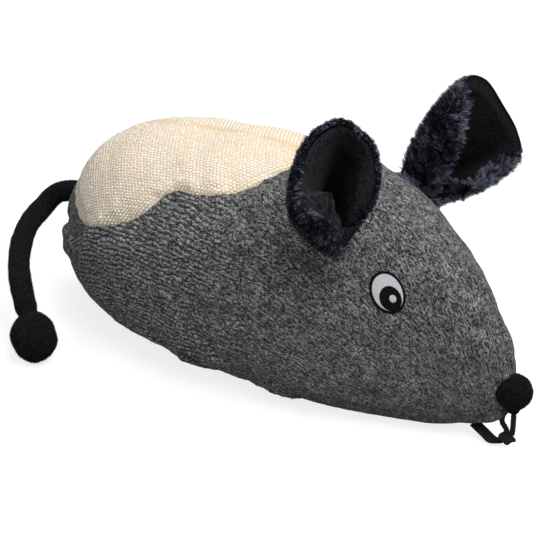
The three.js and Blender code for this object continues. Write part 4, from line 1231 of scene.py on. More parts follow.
EAR_RIM = [
    (0.3, 0.19, 0.1), (0.74, 0.4, 0.085), (1, 0.867, 0.243), (0.74, 1, 0.405),
    (0.478, 0.96, 0.598), (0.443, 0.667, 0.892), (0.561, 0.284, 1), (0.788, 0.027, 0.831),
    (0.832, -0.08, 0.557), (0.616, -0.1, 0.284), (0.3, -0.08, 0.1),
]
EAR_MOUTH = (0.862, 0.541, 0.633)
EAR_PLACE, EAR_ANGLE = 0.425714, 0.246 * math.pi
EAR_BLEND = 0.024
EAR_DEPTH, EAR_REACH = 0.0406, 0.075
EAR_BASE_LENGTH, EAR_BASE_WIDTH = 0.040, 0.016
EAR_HINGE_HEIGHT, EAR_HINGE_RADIUS = 0.0125, 0.010
EAR_BULGE = 0.013
EAR_FOOT_TURN = 0.72
FUR_THICKNESS, FUR_FOOT_THICKNESS = 0.0045, 0.0022
FOLD_HEIGHT = 0.0125

# What differs between the two ears. The right one has its lower front rim rolled inwards.
EAR_HEIGHT = {"left": 0.090, "right": 0.0987}
LOBE_HEIGHT = {"left": 0.006, "right": 0.024}
RIM_CURL = {"left": 0.0, "right": 0.31}
CREASE_AT = {"left": 0.27, "right": 0.65}
FOOT_REACH = {"left": 0.45, "right": 0.0}
PILE_SHARE = {"left": 1.25, "right": 0.78}
ROOT_LENGTH_SHARE = {"left": 0.8, "right": 0.5}
# Painted light: the root hairs of the left ear are made paler, those of the right darker
ROOT_PAINTED_LIGHT = {"left": 0.2, "right": -0.1}
HAIR_SEED = {"left": 310, "right": 330}
ROOT_SEED = {"left": 350, "right": 370}
TURNED_SEED = 390

# The rolled rim: how much of the wall it takes, and how softly it turns
CURL_SHARE, CURL_SOFTNESS = 0.26, 0.06
CURL_AT, CURL_WIDTH = 0.17, 0.15


def hump(s, at, width):
    """A smooth hump of height 1 about a place on the rim."""
    return np.exp(-((s - at) / width) ** 2)


def rising(value, start, over):
    """0 up to the start, then up to 1."""
    return np.clip((value - start) / over, 0, 1)


def curl_share(s):
    return hump(s, CURL_AT, CURL_WIDTH)


def fur_depth(r):
    """How thick the fur's cloth is between foot and rim."""
    return FUR_FOOT_THICKNESS + (FUR_THICKNESS - FUR_FOOT_THICKNESS) * np.clip(r * 2, 0, 1)


def ear_base():
    """Where the ear is sewn on, and which way is forward, outward and down the flank there."""
    t, angle = np.array([station_at(EAR_PLACE)]), np.array([EAR_ANGLE])
    forward, outward, side = body_frame(t, angle)
    down = side[0] if side[0][1] > 0 else -side[0]
    return body_point(t, angle)[0], forward[0], outward[0], down


def ear_surface(s, r, depth, word):
    """Points of an ear as if it were on the left: s round the rim, r from foot to rim.

    depth is how far into the cup. The second result is which way that is.
    """
    base, forward, outward, down = ear_base()
    height = EAR_HEIGHT[word]
    size = np.array([EAR_DEPTH, EAR_REACH, height])
    rim_points = base + np.array(EAR_RIM) * size
    mouth = base + np.array(EAR_MOUTH) * size
    axis = unit(mouth - base)

    def foot(s):
        turn = (2 * s - 1) * EAR_FOOT_TURN * np.pi
        longer = 1 + FOOT_REACH[word] * np.clip(np.cos(turn), 0, 1)
        return -np.cos(turn) * EAR_BASE_LENGTH / 2 * longer, -np.sin(turn) * EAR_BASE_WIDTH / 2

    def outer(s, r, curled=True):
        a, b = foot(s)
        share = curl_share(s) * (curled and RIM_CURL[word] > 0)
        past = r / (1 - CURL_SHARE * share) - 1
        rolled = (past + np.sqrt(past**2 + (CURL_SOFTNESS * share) ** 2)) / 2
        r = np.clip(past + 1 - rolled, 0, 1)
        rolled = rolled / np.maximum(1 / (1 - CURL_SHARE * share) - 1, 1e-3)
        low = (base + forward * a[..., None] + down * b[..., None]
               + outward * (EAR_HINGE_HEIGHT - np.sqrt(EAR_HINGE_RADIUS**2 - b**2))[..., None])
        high = rounded_line(rim_points, s)
        drawn_in = (0.24 * hump(s, 0.26, 0.15) - 0.16 * hump(s, 0.51, 0.07)) * (RIM_CURL[word] > 0)
        high = high + (mouth - high) * drawn_in[..., None]
        middle = (low + high) / 2
        on_axis = base + axis * ((middle - base) @ axis)[..., None]
        bulge = EAR_BULGE * np.linalg.norm(high - low, axis=-1, keepdims=True) / height
        middle = middle + unit(middle - on_axis) * bulge
        r = r[..., None]
        wall = (1 - r) ** 2 * low + 2 * r * (1 - r) * middle + r**2 * high
        return wall + (mouth - high) * (RIM_CURL[word] * share * rolled)[..., None]

    def cloth_normal(at, curled):
        along_rim = outer(held + SMALL_STEP, at, curled) - outer(held - SMALL_STEP, at, curled)
        up_wall = outer(held, at, curled) - outer(held, at - SMALL_STEP, curled)
        return unit(np.cross(along_rim, up_wall))

    held = np.clip(s, SMALL_STEP, 1 - SMALL_STEP)
    one = np.ones_like(s)
    normal = cloth_normal(one, False)
    towards = ((mouth - outer(held, one * 0.9, False)) * normal).sum(-1, keepdims=True)
    normal = np.where(towards < 0, -normal, normal)
    if RIM_CURL[word] > 0:
        same_way = np.sign((cloth_normal(one * 0.6, True) * normal).sum(-1, keepdims=True))
        local = cloth_normal(np.clip(r, 0.05, 1), True) * same_way
        near_roll = (curl_share(s) * rising(r, 0.62, 0.1))[..., None]
        normal = normal * (1 - near_roll) + local * near_roll
    a, b = foot(s)
    foot_in = unit(forward * (-a * EAR_BASE_WIDTH / EAR_BASE_LENGTH)[..., None]
                   + down * (-b)[..., None])
    inward = unit(foot_in * (1 - r[..., None]) + normal * r[..., None])
    return outer(s, r) + inward * np.asarray(depth)[..., None], inward


def ear_fold(s, r, word):
    """How far the lining stands into the cup: two full halves with a deep crease between them."""
    rise = np.sin(np.pi * np.clip(r * 0.98, 0, 1)) ** 0.8
    halves = hump(s, 0.47, 0.1) + 0.85 * hump(s, 0.8, 0.09)
    crease = hump(s, 0.64, 0.05)
    lobe = hump(s, 0.19, 0.06) * (RIM_CURL[word] == 0)
    return (FOLD_HEIGHT * halves * (1 - crease) + LOBE_HEIGHT[word] * lobe) * rise


HAIR_WIDTHS = (0.00022, 0.00038)
HAIR_TONES = [0.48, 0.84]
TUFT_SIZE, LOCK_SIZE, SHEEN_SIZE = 0.006, 0.022, 0.0022


def fur_along(name, roots, out, along, sizes, seed, lengths, pale):
    """Plush hairs that stand out of the cloth, lean along it and clump into soft tufts."""
    rng = np.random.default_rng(seed)
    count = len(roots)
    tuft = np.stack([waves(roots, TUFT_SIZE, seed + k) for k in (1, 2, 3)], axis=1)
    lock = np.stack([waves(roots, LOCK_SIZE, seed + k) for k in (4, 5, 6)], axis=1)
    directions = unit(out * 0.82 + along * 0.42 + tuft * 0.18 + lock * 0.12
                      + rng.normal(size=(count, 3)) * 0.15)
    bends = along * 0.25 - out * 0.12 + tuft * 0.06
    sides = unit(np.cross(directions, out + rng.normal(size=(count, 3)) * 0.7))
    # pale is painted light and shade on the hairs' tones; the sheen waves paint patches of sheen
    light = (0.5 + pale + 0.26 * waves(roots, SHEEN_SIZE, seed + 7)
             + 0.12 * waves(roots, 0.02, seed + 8) + rng.normal(size=count) * 0.2)
    tones = np.digitize(light, HAIR_TONES)
    lengths = sizes.pile_length * lengths * rng.uniform(0.7, 1.1, count)
    widths = rng.uniform(*HAIR_WIDTHS, count)
    finishes = [finish_of(f"hair_{tone}") for tone in ("dark", "middle", "tip")]
    return lay_hairs(name, roots, directions, bends, sides, lengths, widths, finishes, tones)


LINING_STAND, LOBE_ROUNDING = 0.0009, 0.0015
# The lining is gathered to a point in the foot, over this share of the wall's length
GATHER_SHARE, GATHERED_FORWARD, GATHERED_OUT = 0.25, 0.012, 0.0062
ROOT_HAIRS = 6000


class TOY_OT_ears(bpy.types.Operator):
    """Makes the two cupped ears: fur outside, fleece inside, gathered at the foot"""
    bl_idname = "toy.ears"
    bl_label = "Ears"

    def execute(self, context):
        sizes = context.scene.toy_ears
        base, _, outward, _ = ear_base()
        for side, word in ((1, "left"), (-1, "right")):
            flip = np.array([1, side, 1])
            fur = self.fur_shell(word, flip)
            hairs = self.fur_hairs(word, flip, sizes)
            turned = self.turned_fur(word, flip, sizes)
            ear = joined(f"ear_fur_{word}", [fur, hairs, turned])
            lining = self.lining(word, flip)
            root = self.root(word, flip, sizes)
            start, end = base * flip, (base + outward * EAR_BLEND) * flip
            for piece, node, slot in ((ear, f"ear_back_{word}", "fur"),
                                      (lining, f"ear_lining_{word}", "lining")):
                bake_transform(piece)
                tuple(start)
                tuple(end)
                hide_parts(node)
            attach(root, "body")
            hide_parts(f"ear_foot_{word}")
        return {"FINISHED"}

    def bound(self, word, s):
        """Where the left ear's lining comes right up to the rim, with no fur turned over it."""
        if word == "right":
            return s * 0.0
        return rising(s, 0.17, 0.05) * np.clip((0.66 - s) / 0.05, 0, 1)

    def way_round(self, way):
        """From the foot up the outside to the rim, and then across the rim's thickness."""
        r = np.clip(way, 0, 1)
        return r, fur_depth(r) * rising(way, 1, 0.08)

    def fur_shell(self, word, flip):
        mesh, places = grid_mesh(f"ear_backing_{word}", 90, 140)
        way = places[:, 0] * (1.08 - 0.075 * self.bound(word, places[:, 1]))
        r, depth = self.way_round(way)
        points, inward = ear_surface(places[:, 1], r, depth, word)
        move_to(mesh, points * flip)
        turn_outwards(mesh, -inward * flip)
        return show(mesh, [finish_of("fur_ground")])

    def fur_hairs(self, word, flip, sizes):
        rng = np.random.default_rng(HAIR_SEED[word])
        [count] = fewer(sizes.hairs)
        s = rng.uniform(0, 1, count)
        bound = self.bound(word, s)
        way = np.sqrt(rng.uniform(0.0, 1.0, count)) * (1.07 - 0.09 * bound)
        r, depth = self.way_round(way)
        roots, inward = ear_surface(s, r, depth, word)
        rimwards = unit(ear_surface(s, np.clip(r, 0.02, 1), depth, word)[0]
                        - ear_surface(s, np.clip(r - 0.02, 0, 1), depth, word)[0])
        over = (rising(way, 0.93, 0.07) * (1 - bound))[:, None]
        out = unit(-inward * (1 - 0.7 * over) + rimwards * over)
        droop = np.array([0, 0, -0.3])
        rimmed = rising(way, 0.8, 0.15) * bound
        along = rimwards * (0.7 - 0.6 * over - 1.5 * rimmed[:, None]) + inward * 0.5 * over + droop
        near_rim = curl_share(s) * rising(way, 0.7, 0.2)
        if word == "left":
            length = PILE_SHARE[word]
            # Painted light: hairs near the ends of the left ear's rim are made paler, as if lit
            pale = 0.35 * hump(np.minimum(s, (1 - s) * 1.8), 0, 0.28)
        else:
            length = PILE_SHARE[word] * (1 - 0.35 * near_rim)
            # Painted light and shade: paler hairs along the rolled rim's edge, darker ones in the
            # roll
            pale = 0.3 * curl_share(s) * rising(way, 0.98, 0.04) - 0.2 * near_rim
        return fur_along(f"ear_hairs_{word}", roots * flip, out * flip, along * flip, sizes,
                         HAIR_SEED[word], length, pale)

    def turned_fur(self, word, flip, sizes):
        """The fur that is turned over the rim into the cup, near the cup's lower corners."""
        rng = np.random.default_rng(TURNED_SEED)
        if word == "left":
            [count], length, pale = fewer(9000), 0.85, 0.0
            s = 0.21 * rng.uniform(0, 1, count) ** 1.3
            corner = np.clip((0.09 - s) / 0.09, 0, 1)
            deep = (0.27 + 0.45 * corner) * np.clip((0.21 - s) / 0.05, 0, 1)
        else:
            # Painted shade: the right ear's turned fur takes darker tones
            [count], length, pale = fewer(2500), 0.5, -0.1
            s = 1 - 0.12 * rng.uniform(0, 1, count)
            deep = 0.6 * rising(s, 0.88, 0.06)
        back = rng.uniform(-0.02, 1, len(s)) * deep
        r = np.minimum(1 - back, 1)
        lift = FUR_THICKNESS + 0.001 + ear_fold(s, r * 0.985, word)
        lift = lift - 0.004 * np.clip(1 - back / 0.05, 0, 1)
        roots, inward = ear_surface(s, r, lift, word)
        rimwards = unit(ear_surface(s, r, lift, word)[0] - ear_surface(s, r - 0.02, lift, word)[0])
        near = np.clip(1 - back / 0.08, 0, 1)[:, None]
        out = unit(inward * (1 - 0.7 * near) + rimwards * near)
        along = rimwards * 0.5 + np.array([0, 0, -0.1])
        return fur_along(f"ear_turned_{word}", roots * flip, out * flip, along * flip, sizes,
                         TURNED_SEED, length, pale)

    def lining(self, word, flip):
        """The fleece of the cup, from the rim down to where it is gathered at the foot."""
        mesh, places = grid_mesh(f"ear_lining_cloth_{word}", 100, 150)
        base, forward, outward, _ = ear_base()
        s, way = places[:, 1], places[:, 0] * (1 + GATHER_SHARE) - GATHER_SHARE
        bound = self.bound(word, s)
        r = np.clip(way, 0, 1) * (0.985 + 0.015 * bound)
        edge = np.clip(np.minimum(s, 1 - s) / 0.05, 0, 1)
        rim = rising(r, 0.93, 0.055)
        depth = fur_depth(r) + LINING_STAND
        depth = depth + ear_fold(s, r, word) * edge * (1 - rim) - 0.0012 * rim**2
        depth = depth * (1 - bound * rim**1.5) - 0.0006 * bound * rim**2
        depth = depth + 0.0004 * waves(np.stack([s * 0.1, r * 0.1, s * 0], axis=1), 0.02, 81)
        points, inward = ear_surface(s, r, depth, word)
        if RIM_CURL[word] > 0:
            points = points + self.lobe(s, r, inward, word)
        gathered = base + forward * GATHERED_FORWARD + outward * GATHERED_OUT
        sunk = (np.clip(-way / GATHER_SHARE, 0, 1) ** 0.8)[:, None]
        points = points * (1 - sunk) + gathered * sunk
        facing = unit(inward * (1 - sunk) + outward * sunk)
        move_to(mesh, points * flip)
        turn_outwards(mesh, facing * flip)
        add_map(mesh, "OFBake", places * 0.98 + 0.01)
        # Painted shade along the crease between the cup's halves and deep down towards the foot
        crease = hump(s, CREASE_AT[word], 0.075) * np.clip((0.97 - r) / 0.25, 0, 1)
        deep = np.clip((0.5 - r) / 0.35, 0, 1)
        add_value(mesh, "painted_crease_shade", np.clip(crease + 0.8 * deep, 0, 1) * 0.92)
        return show(mesh, [finish_of(f"lining_{word}")])

    def lobe(self, s, r, inward, word):
        """How far the lining is rolled up into a soft lobe behind the rim's lower front."""
        back = np.clip((0.98 - r) / 0.34, 0, 1)
        ends = np.clip((0.47 - s) / 0.14, 0, 1)
        share = np.clip(s / 0.24, 0, 1) ** 0.5 * (1 - 0.3 * rising(s, 0.2, 0.15))
        share = (share * ends * ends * (3 - 2 * ends))[:, None]
        base = ear_base()[0]
        mouth = base + np.array(EAR_MOUTH) * (EAR_DEPTH, EAR_REACH, EAR_HEIGHT[word])
        front, behind, beside = (
            ear_surface(place, np.ones_like(r), np.zeros_like(r), word)[0]
            for place in (np.full_like(s, 0.93), np.full_like(s, 0.5), s))
        to_front = np.clip(1 - s / 0.22, 0, 1)[:, None]
        to_behind = 0.35 * rising(s, 0.18, 0.2)[:, None]
        aim = mouth * (1 - to_front - to_behind) + front * to_front + behind * to_behind
        stand = (LOBE_HEIGHT[word] * np.sin(np.pi * back) ** 0.8)[:, None]
        round_over = (LOBE_ROUNDING * np.sin(2 * np.pi * back))[:, None]
        return share * (unit(aim - beside) * stand - inward * round_over)

    def root(self, word, flip, sizes):
        """The tuft of fur round the foot, where the ear is sewn to the head."""
        base, forward, outward, down = ear_base()
        mesh, places = grid_mesh(f"ear_root_cloth_{word}", 12, 72)
        turn = places[:, 1] * 2 * np.pi
        out = places[:, 0]
        front = 1 - 0.22 * np.clip(np.cos(turn), 0, 1)
        if word == "left":
            front += 0.4 * np.clip(-np.cos(turn), 0, 1)
        else:
            front -= 0.35 * np.clip(np.cos(turn), 0, 1) + 0.1
        ring = forward * (np.cos(turn) * (0.0165 + 0.0075 * out) * front)[:, None]
        ring = ring + down * (np.sin(turn) * (0.0062 + 0.0065 * out))[:, None]
        height = 0.0072 * np.cos(out * np.pi / 2) ** 0.8 - 0.0012
        sink = (0.16 * (np.cos(turn) * 0.025 * out) ** 2 / 0.01
                + 0.55 * (np.sin(turn) * 0.0137 * out) ** 2 / 0.01)
        points = base + ring + outward * (height - sink)[:, None]
        move_to(mesh, points * flip)
        facing = unit(outward + unit(ring) * out[:, None] * 1.4)
        turn_outwards(mesh, facing * flip)
        rng = np.random.default_rng(ROOT_SEED[word])
        quads = quads_of(mesh)
        chosen, weights = scattered(rng, coordinates_of(mesh), quads, *fewer(ROOT_HAIRS))
        corners = coordinates_of(mesh)[quads[chosen]]
        roots = (corners * weights[:, :, None]).sum(1)
        vertex_out = (facing * flip)[quads[chosen][:, 0]]
        along = unit((ring * flip)[quads[chosen][:, 0]])
        weld_seam(mesh)
        cloth = show(mesh, [finish_of("fur_ground")])
        hairs = fur_along(f"ear_root_hairs_{word}", roots, vertex_out, along * 0.6, sizes,
                          ROOT_SEED[word], ROOT_LENGTH_SHARE[word], ROOT_PAINTED_LIGHT[word])
        return joined(f"ear_root_{word}", [cloth, hairs])


# Nose

# The nap takes up this much of a stuffed form's radius
NAP_ROOM = 0.0004
NAP_WIDTH = 0.00014
NOSE_NAP, TAIL_NAP, BALL_NAP = 0.0009, 0.0011, 0.0012
BALL_HAIRS, STRETCH_HAIRS = 9000, 5200


def ball_mesh(name, radius, centre, stretch=(1, 1, 1), rings=96):
    """A round mesh, and where its vertices lie on a ball of radius 1."""
    shape = bmesh.new()
    bmesh.ops.create_uvsphere(shape, u_segments=rings, v_segments=rings // 2, radius=1)
    mesh = mesh_of(shape, name)
    local = coordinates_of(mesh)
    move_to(mesh, local * np.array(stretch) * radius + np.array(centre))
    return mesh, local


def nap_hairs(name, mesh, count, seed, length):
    """Short hairs that stand every way out of a fleece."""
    rng = np.random.default_rng(seed)
    points, quads = coordinates_of(mesh), quads_of(mesh)
    chosen, weights = scattered(rng, points, quads, count)
    corners = points[quads[chosen]]
    roots = (corners * weights[:, :, None]).sum(1)
    normals = face_normals(corners)
    directions = unit(normals * 0.6 + rng.normal(size=(count, 3)) * 0.45)
    bends = rng.normal(size=(count, 3)) * 0.2
    sides = unit(np.cross(directions, rng.normal(size=(count, 3))))
    lengths = length * rng.uniform(0.6, 1.2, count)
    widths = np.full(count, NAP_WIDTH)
    return lay_hairs(name, roots, directions, bends, sides, lengths, widths,
                     [finish_of("nap")], np.zeros(count))


NOSE_NECK_DROP = 0.0038
TIE_RADIUS, TIE_THREAD_RADIUS, TIE_PITCH = 0.0038, 0.00045, 0.0008


class TOY_OT_nose(bpy.types.Operator):
    """Makes the stuffed nose ball, gathered and tied underneath"""
    bl_idname = "toy.nose"
    bl_label = "Nose"

    def execute(self, context):
        mesh, local = ball_mesh("nose_ball", NOSE_RADIUS - NAP_ROOM, NOSE_CENTRE)
        gather = np.clip((-local[:, 2] - 0.75) / 0.25, 0, 1)
        around = np.arctan2(local[:, 1], local[:, 0])
        points = coordinates_of(mesh)
        pull = 1 - 0.45 * gather * (0.6 + 0.4 * np.cos(around * 9))
        centre = np.array(NOSE_CENTRE)
        points[:, :2] = centre[:2] + (points[:, :2] - centre[:2]) * pull[:, None]
        points[:, 2] -= gather**2 * NOSE_NECK_DROP
        points += unit(points - centre) * (0.0001 * waves(points, 0.008, 41))[:, None]
        move_to(mesh, points)
        ball = show(mesh, [finish_of("fleece")])
        nap = nap_hairs("nose_nap", mesh, BALL_HAIRS, 42, NOSE_NAP)
        nose = joined("nose_ball", [ball, nap])
        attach(nose, "body")
        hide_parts("nose_cover", "nose_filling")
        self.tie()
        return {"FINISHED"}

    def tie(self):
        """Three turns of thread round the neck of the nose."""
        low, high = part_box("nose_tie")
        height = (low[2] + high[2]) / 2
        shape = bmesh.new()
        upright = Matrix.Rotation(math.pi / 2, 3, "X")
        for turn in (-1, 0, 1):
            circle = bmesh.ops.create_circle(shape, segments=10, radius=TIE_THREAD_RADIUS)["verts"]
            bmesh.ops.rotate(shape, verts=circle, cent=(0, 0, 0), matrix=upright)
            bmesh.ops.translate(shape, verts=circle, vec=(TIE_RADIUS, 0, turn * TIE_PITCH))
            edges = list({edge for vert in circle for edge in vert.link_edges})
            bmesh.ops.spin(shape, geom=circle + edges, axis=(0, 0, 1), cent=(0, 0, 0),
                           angle=2 * math.pi, steps=40, use_merge=True)
        bmesh.ops.remove_doubles(shape, verts=shape.verts, dist=1e-6)
        bmesh.ops.recalc_face_normals(shape, faces=shape.faces)
        bmesh.ops.translate(shape, verts=shape.verts, vec=(NOSE_CENTRE[0], 0, height))
        mesh = mesh_of(shape, "nose_thread")
        add_map(mesh, "cloth", coordinates_of(mesh)[:, [2, 1]])
        thread = show(mesh, [finish_of("black_thread")], "body")
        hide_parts("nose_tie")


# Tubes along curves

def path_frames(points):
    """Unit vectors across and up at each point of a path."""
    tangents = unit(np.gradient(points, axis=0))
    across = unit(np.cross(np.array([0.0, 0.0, 1.0]), tangents) + 1e-9)
    return across, np.cross(tangents, across)


def lengths_along(points):
    return np.append(0, np.cumsum(np.linalg.norm(np.diff(points, axis=0), axis=1)))


def point_at(line, place):
    """Points of a line at places along its length."""
    points, length = line
    return np.stack([np.interp(place, length, points[:, k]) for k in range(3)], axis=-1)


def tube(name, points, radius, sides, finish):
    """A tube along points; radius(share, turn) gives its section."""
    rows = len(points) - 1
    mesh, places = grid_mesh(name, rows, sides)
    share, turn = places[:, 0], places[:, 1] * 2 * np.pi
    row = np.rint(share * rows).astype(int)
    across, up = path_frames(points)
    spoke = np.cos(turn)[:, None] * across[row] + np.sin(turn)[:, None] * up[row]
    where = points[row] + radius(share, turn)[:, None] * spoke
    move_to(mesh, where)
    turn_outwards(mesh, unit(where - points[row] + 1e-9))
    usual = radius(np.array([0.5]), np.array([0.0]))[0]
    add_map(mesh, "cloth", np.stack([lengths_along(points)[row], turn * usual], axis=1))
    weld_seam(mesh)
    return show(mesh, [finish_of(finish)])


# Nose loop

TAPE_WIDTH, TAPE_THICKNESS, TAPE_TUCK, TAPE_CUP = 0.0095, 0.0014, 0.0006, 0.0007
TAPE_MAP_LENGTH = 0.03
TAPE_ROUTE = [(0.187, 0, 0.0056), (0.1952, 0, 0.0016), (0.2035, 0, 0.0036)]
KNOT_RADIUS, KNOT_STRETCH, KNOT_SHIFT = 0.0047, (1.32, 0.95, 0.86), (0.0006, 0, 0.001)
STRAND_RADIUS, STRAND_INSET = 0.0019, 0.0002
# Each strand's way up: how far forward, at which share of its height
STRAND_ROUTES = {
    "front": [(0.2114, 0.0), (0.2120, 0.3), (0.2122, 0.65), (0.2122, 1.0)],
    "rear": [(0.2078, 0.0), (0.2060, 0.2), (0.2028, 0.42), (0.2033, 0.74), (0.2062, 1.0)],
}


class TOY_OT_nose_loop(bpy.types.Operator):
    """Makes the tape loop under the nose with its knot and two strands"""
    bl_idname = "toy.nose_loop"
    bl_label = "Nose loop"

    def execute(self, context):
        self.tape()
        self.knot()
        self.strands()
        return {"FINISHED"}

    def tape(self):
        low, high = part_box("loop_tape")
        chin = (low[0], 0, high[2] - TAPE_TUCK)
        route = [chin, *TAPE_ROUTE]
        mesh, places = grid_mesh("loop_band", 60, 14)
        share = places[:, 0]
        centre = rounded_line(route, share)
        tangent = unit(rounded_line(route, share + 0.01) - rounded_line(route, share - 0.01))
        up = np.stack([-tangent[:, 2], tangent[:, 1] * 0, tangent[:, 0]], axis=1)
        half = TAPE_WIDTH / 2 * np.minimum(1, 0.62 + np.sqrt(1 - share) * 0.6)
        across = places[:, 1] * 2 - 1
        centre[:, 1] = across * half
        centre += up * (TAPE_CUP * across**2 * (1 + share))[:, None]
        move_to(mesh, centre)
        turn_outwards(mesh, up)
        add_map(mesh, "cloth", places * (TAPE_MAP_LENGTH, TAPE_WIDTH))
        band = show(mesh, [finish_of("tape")])
        solid = band.modifiers.new("thickness", "SOLIDIFY")
        solid.thickness = TAPE_THICKNESS
        solid.offset = 0
        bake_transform(band)
        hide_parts("loop_tape")

    def knot(self):
        low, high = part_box("loop_knot")
        middle = [(a + b) / 2 + shift for a, b, shift in zip(low, high, KNOT_SHIFT)]
        mesh, local = ball_mesh("loop_lump", KNOT_RADIUS, middle, KNOT_STRETCH, rings=64)
        points = coordinates_of(mesh)
        turn = np.arctan2(local[:, 2], local[:, 0])
        wound = 0.0005 * np.sin(turn * 2 + local[:, 1] * 5) + 0.0003 * waves(points, 0.005, 51)
        move_to(mesh, points + local * wound[:, None])
        add_map(mesh, "cloth", local[:, :2] * 0.006)
        lump = show(mesh, [finish_of("tape")], "nose_loop")
        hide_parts("loop_knot")

    def strands(self):
        def radius(share, turn):
            ends = np.sqrt(np.clip(np.minimum(share, 1 - share) / 0.04, 0, 1))
            plait = 1 + 0.14 * np.cos(2 * turn + share * 60)
            return STRAND_RADIUS * ends * plait

        for name, ways in STRAND_ROUTES.items():
            low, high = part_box(f"loop_strand_{name}")
            drop = high[2] - low[2] - 2 * STRAND_INSET
            route = [(x, 0, low[2] + STRAND_INSET + drop * share) for x, share in ways]
            points = rounded_line(route, np.linspace(0, 1, 61))
            strand = tube(f"loop_cord_{name}", points, radius, 20, "tape")
            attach(strand, "nose_loop")
            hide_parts(f"loop_strand_{name}")


# Tail

TAIL_LENGTH = 0.200
TAIL_RADIUS = 0.00875
TAIL_ROOT = np.array([-BODY_LENGTH / 2 * 0.986, 0, 0.078])
TAIL_ROUTE = [
    (0, 0, 0), (-0.09, 0, 0), (-0.145, -0.04, -0.0175), (-0.16, -0.1, -0.06),
    (-0.12, -0.21, -0.0775), (-0.06, -0.31, -0.105), (0.015, -0.4, -0.1375),
    (0.105, -0.48, -0.168), (0.19, -0.54, -0.205), (0.25, -0.58, -0.235), (0.32, -0.62, -0.29),
]
TAIL_STUB, TAIL_BALL_NECK = 0.012, 0.0015
TAIL_SUNK, TAIL_INTO_BALL = 0.004, 0.006
TAIL_BEND = 0.009
BALL_LENGTH, BALL_WIDTH = 0.0404, 0.0362
TAIL_NODES = [
    ["tail_base"], ["tail_sleeve_root", "tail_filling_root"],
    ["tail_sleeve_middle", "tail_filling_middle"], ["tail_sleeve_tip", "tail_filling_tip"],
]


def tail_line():
    """Points of the tail's route, and their lengths along it."""
    dense = rounded_line(TAIL_ROOT + np.array(TAIL_ROUTE) * TAIL_LENGTH, np.linspace(0, 1, 801))
    return dense, lengths_along(dense)


class TOY_OT_tail(bpy.types.Operator):
    """Makes the stuffed tail in four stretches along its curve, and the ball at its end"""
    bl_idname = "toy.tail"
    bl_label = "Tail"

    def execute(self, context):
        line = tail_line()
        end = line[1][-1] - BALL_LENGTH / 2 - TAIL_BALL_NECK
        joints = [TAIL_STUB + (end - TAIL_STUB) * i / 3 for i in range(4)]
        middles = [(a + b) / 2 for a, b in zip(joints, joints[1:])]
        bounds = [-TAIL_SUNK, *middles, end + TAIL_INTO_BALL]
        for i, joint in enumerate(joints):
            places = np.linspace(bounds[i], bounds[i + 1], 70)
            points = point_at(line, places)
            points[:, 0] += np.maximum(-places, 0)

            def radius(share, turn, places=places):
                at = np.interp(share, [0, 1], [places[0], places[-1]])
                lumps = 0.00018 * np.sin(at * 140) + 0.0001 * np.sin(at * 410 + 2 * turn)
                seam = -0.0006 * np.exp(-((turn - 4.4) / 0.12) ** 2)
                gather = -0.0016 * np.exp(-((at - (end + 0.002)) / 0.004) ** 2)
                swell = 0.0006 * np.exp(-((at - 0.004) / 0.006) ** 2)
                return TAIL_RADIUS - NAP_ROOM + lumps + seam + gather + swell

            skin = tube(f"tail_cloth_{i + 1}", points, radius, 56, "fleece")
            nap = nap_hairs(f"tail_nap_{i + 1}", skin.data, STRETCH_HAIRS, 60 + i, TAIL_NAP)
            stretch = joined(f"tail_stretch_{i + 1}", [skin, nap])
            start, stop = point_at(line, [joint - TAIL_BEND, joint + TAIL_BEND])
            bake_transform(stretch)
            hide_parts(*TAIL_NODES[i])
        self.ball(line[0][-1], point_at(line, joints[3]))
        return {"FINISHED"}

    def ball(self, centre, joint):
        mesh, local = ball_mesh("tail_bobble", 1.0, (0, 0, 0))
        half = np.array([BALL_WIDTH, BALL_WIDTH, BALL_LENGTH]) / 2 - NAP_ROOM
        around = np.arctan2(local[:, 1], local[:, 0])
        gather = np.clip((local[:, 2] - 0.86) / 0.14, 0, 1)
        points = local * half
        points[:, 2] -= gather * 0.0018
        seams = 0.0005 * np.exp(-(np.abs((around * 2 / np.pi) % 1 - 0.5) / 0.035) ** 2)
        points -= local * (seams - 0.0003 * waves(points, 0.02, 71))[:, None]
        turn = Vector((0, 0, 1)).rotation_difference(Vector(joint - centre).normalized())
        points = points @ np.array(turn.to_matrix()).T + centre
        move_to(mesh, points)
        ball = show(mesh, [finish_of("fleece")])
        nap = nap_hairs("bobble_nap", mesh, BALL_HAIRS, 72, BALL_NAP)
        bobble = joined("tail_bobble", [ball, nap])
        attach(bobble, "tail_ball")
        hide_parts("tail_ball_cover", "tail_ball_filling")


# Stage

LOOK_AT = Vector((0, 0, 0.08))
# Each lamp's place, size and power
LAMPS = {
    "key_lamp": ((1.35, -0.75, 1.75), 1.2, 36.0),
    "fill_lamp": ((-0.2, -2.0, 0.9), 1.6, 8.0),
    "top_lamp": ((0.35, 0.45, 2.1), 1.3, 34.0),
}
FLOOR_SIZE, FLOOR_GREY, FLOOR_GLOW = 6.0, 0.3, 0.8
AMBIENT = 0.3
LENS, SENSOR_WIDTH, CAMERA_AWAY = 142.9, 36, 1.6
CAMERA_SHIFT = (-0.0246, -0.0099)
CAMERA_RIGHT = Vector((0.7583, 0.6519, 0))
CAMERA_UP = Vector((-0.2746, 0.3194, 0.9070))


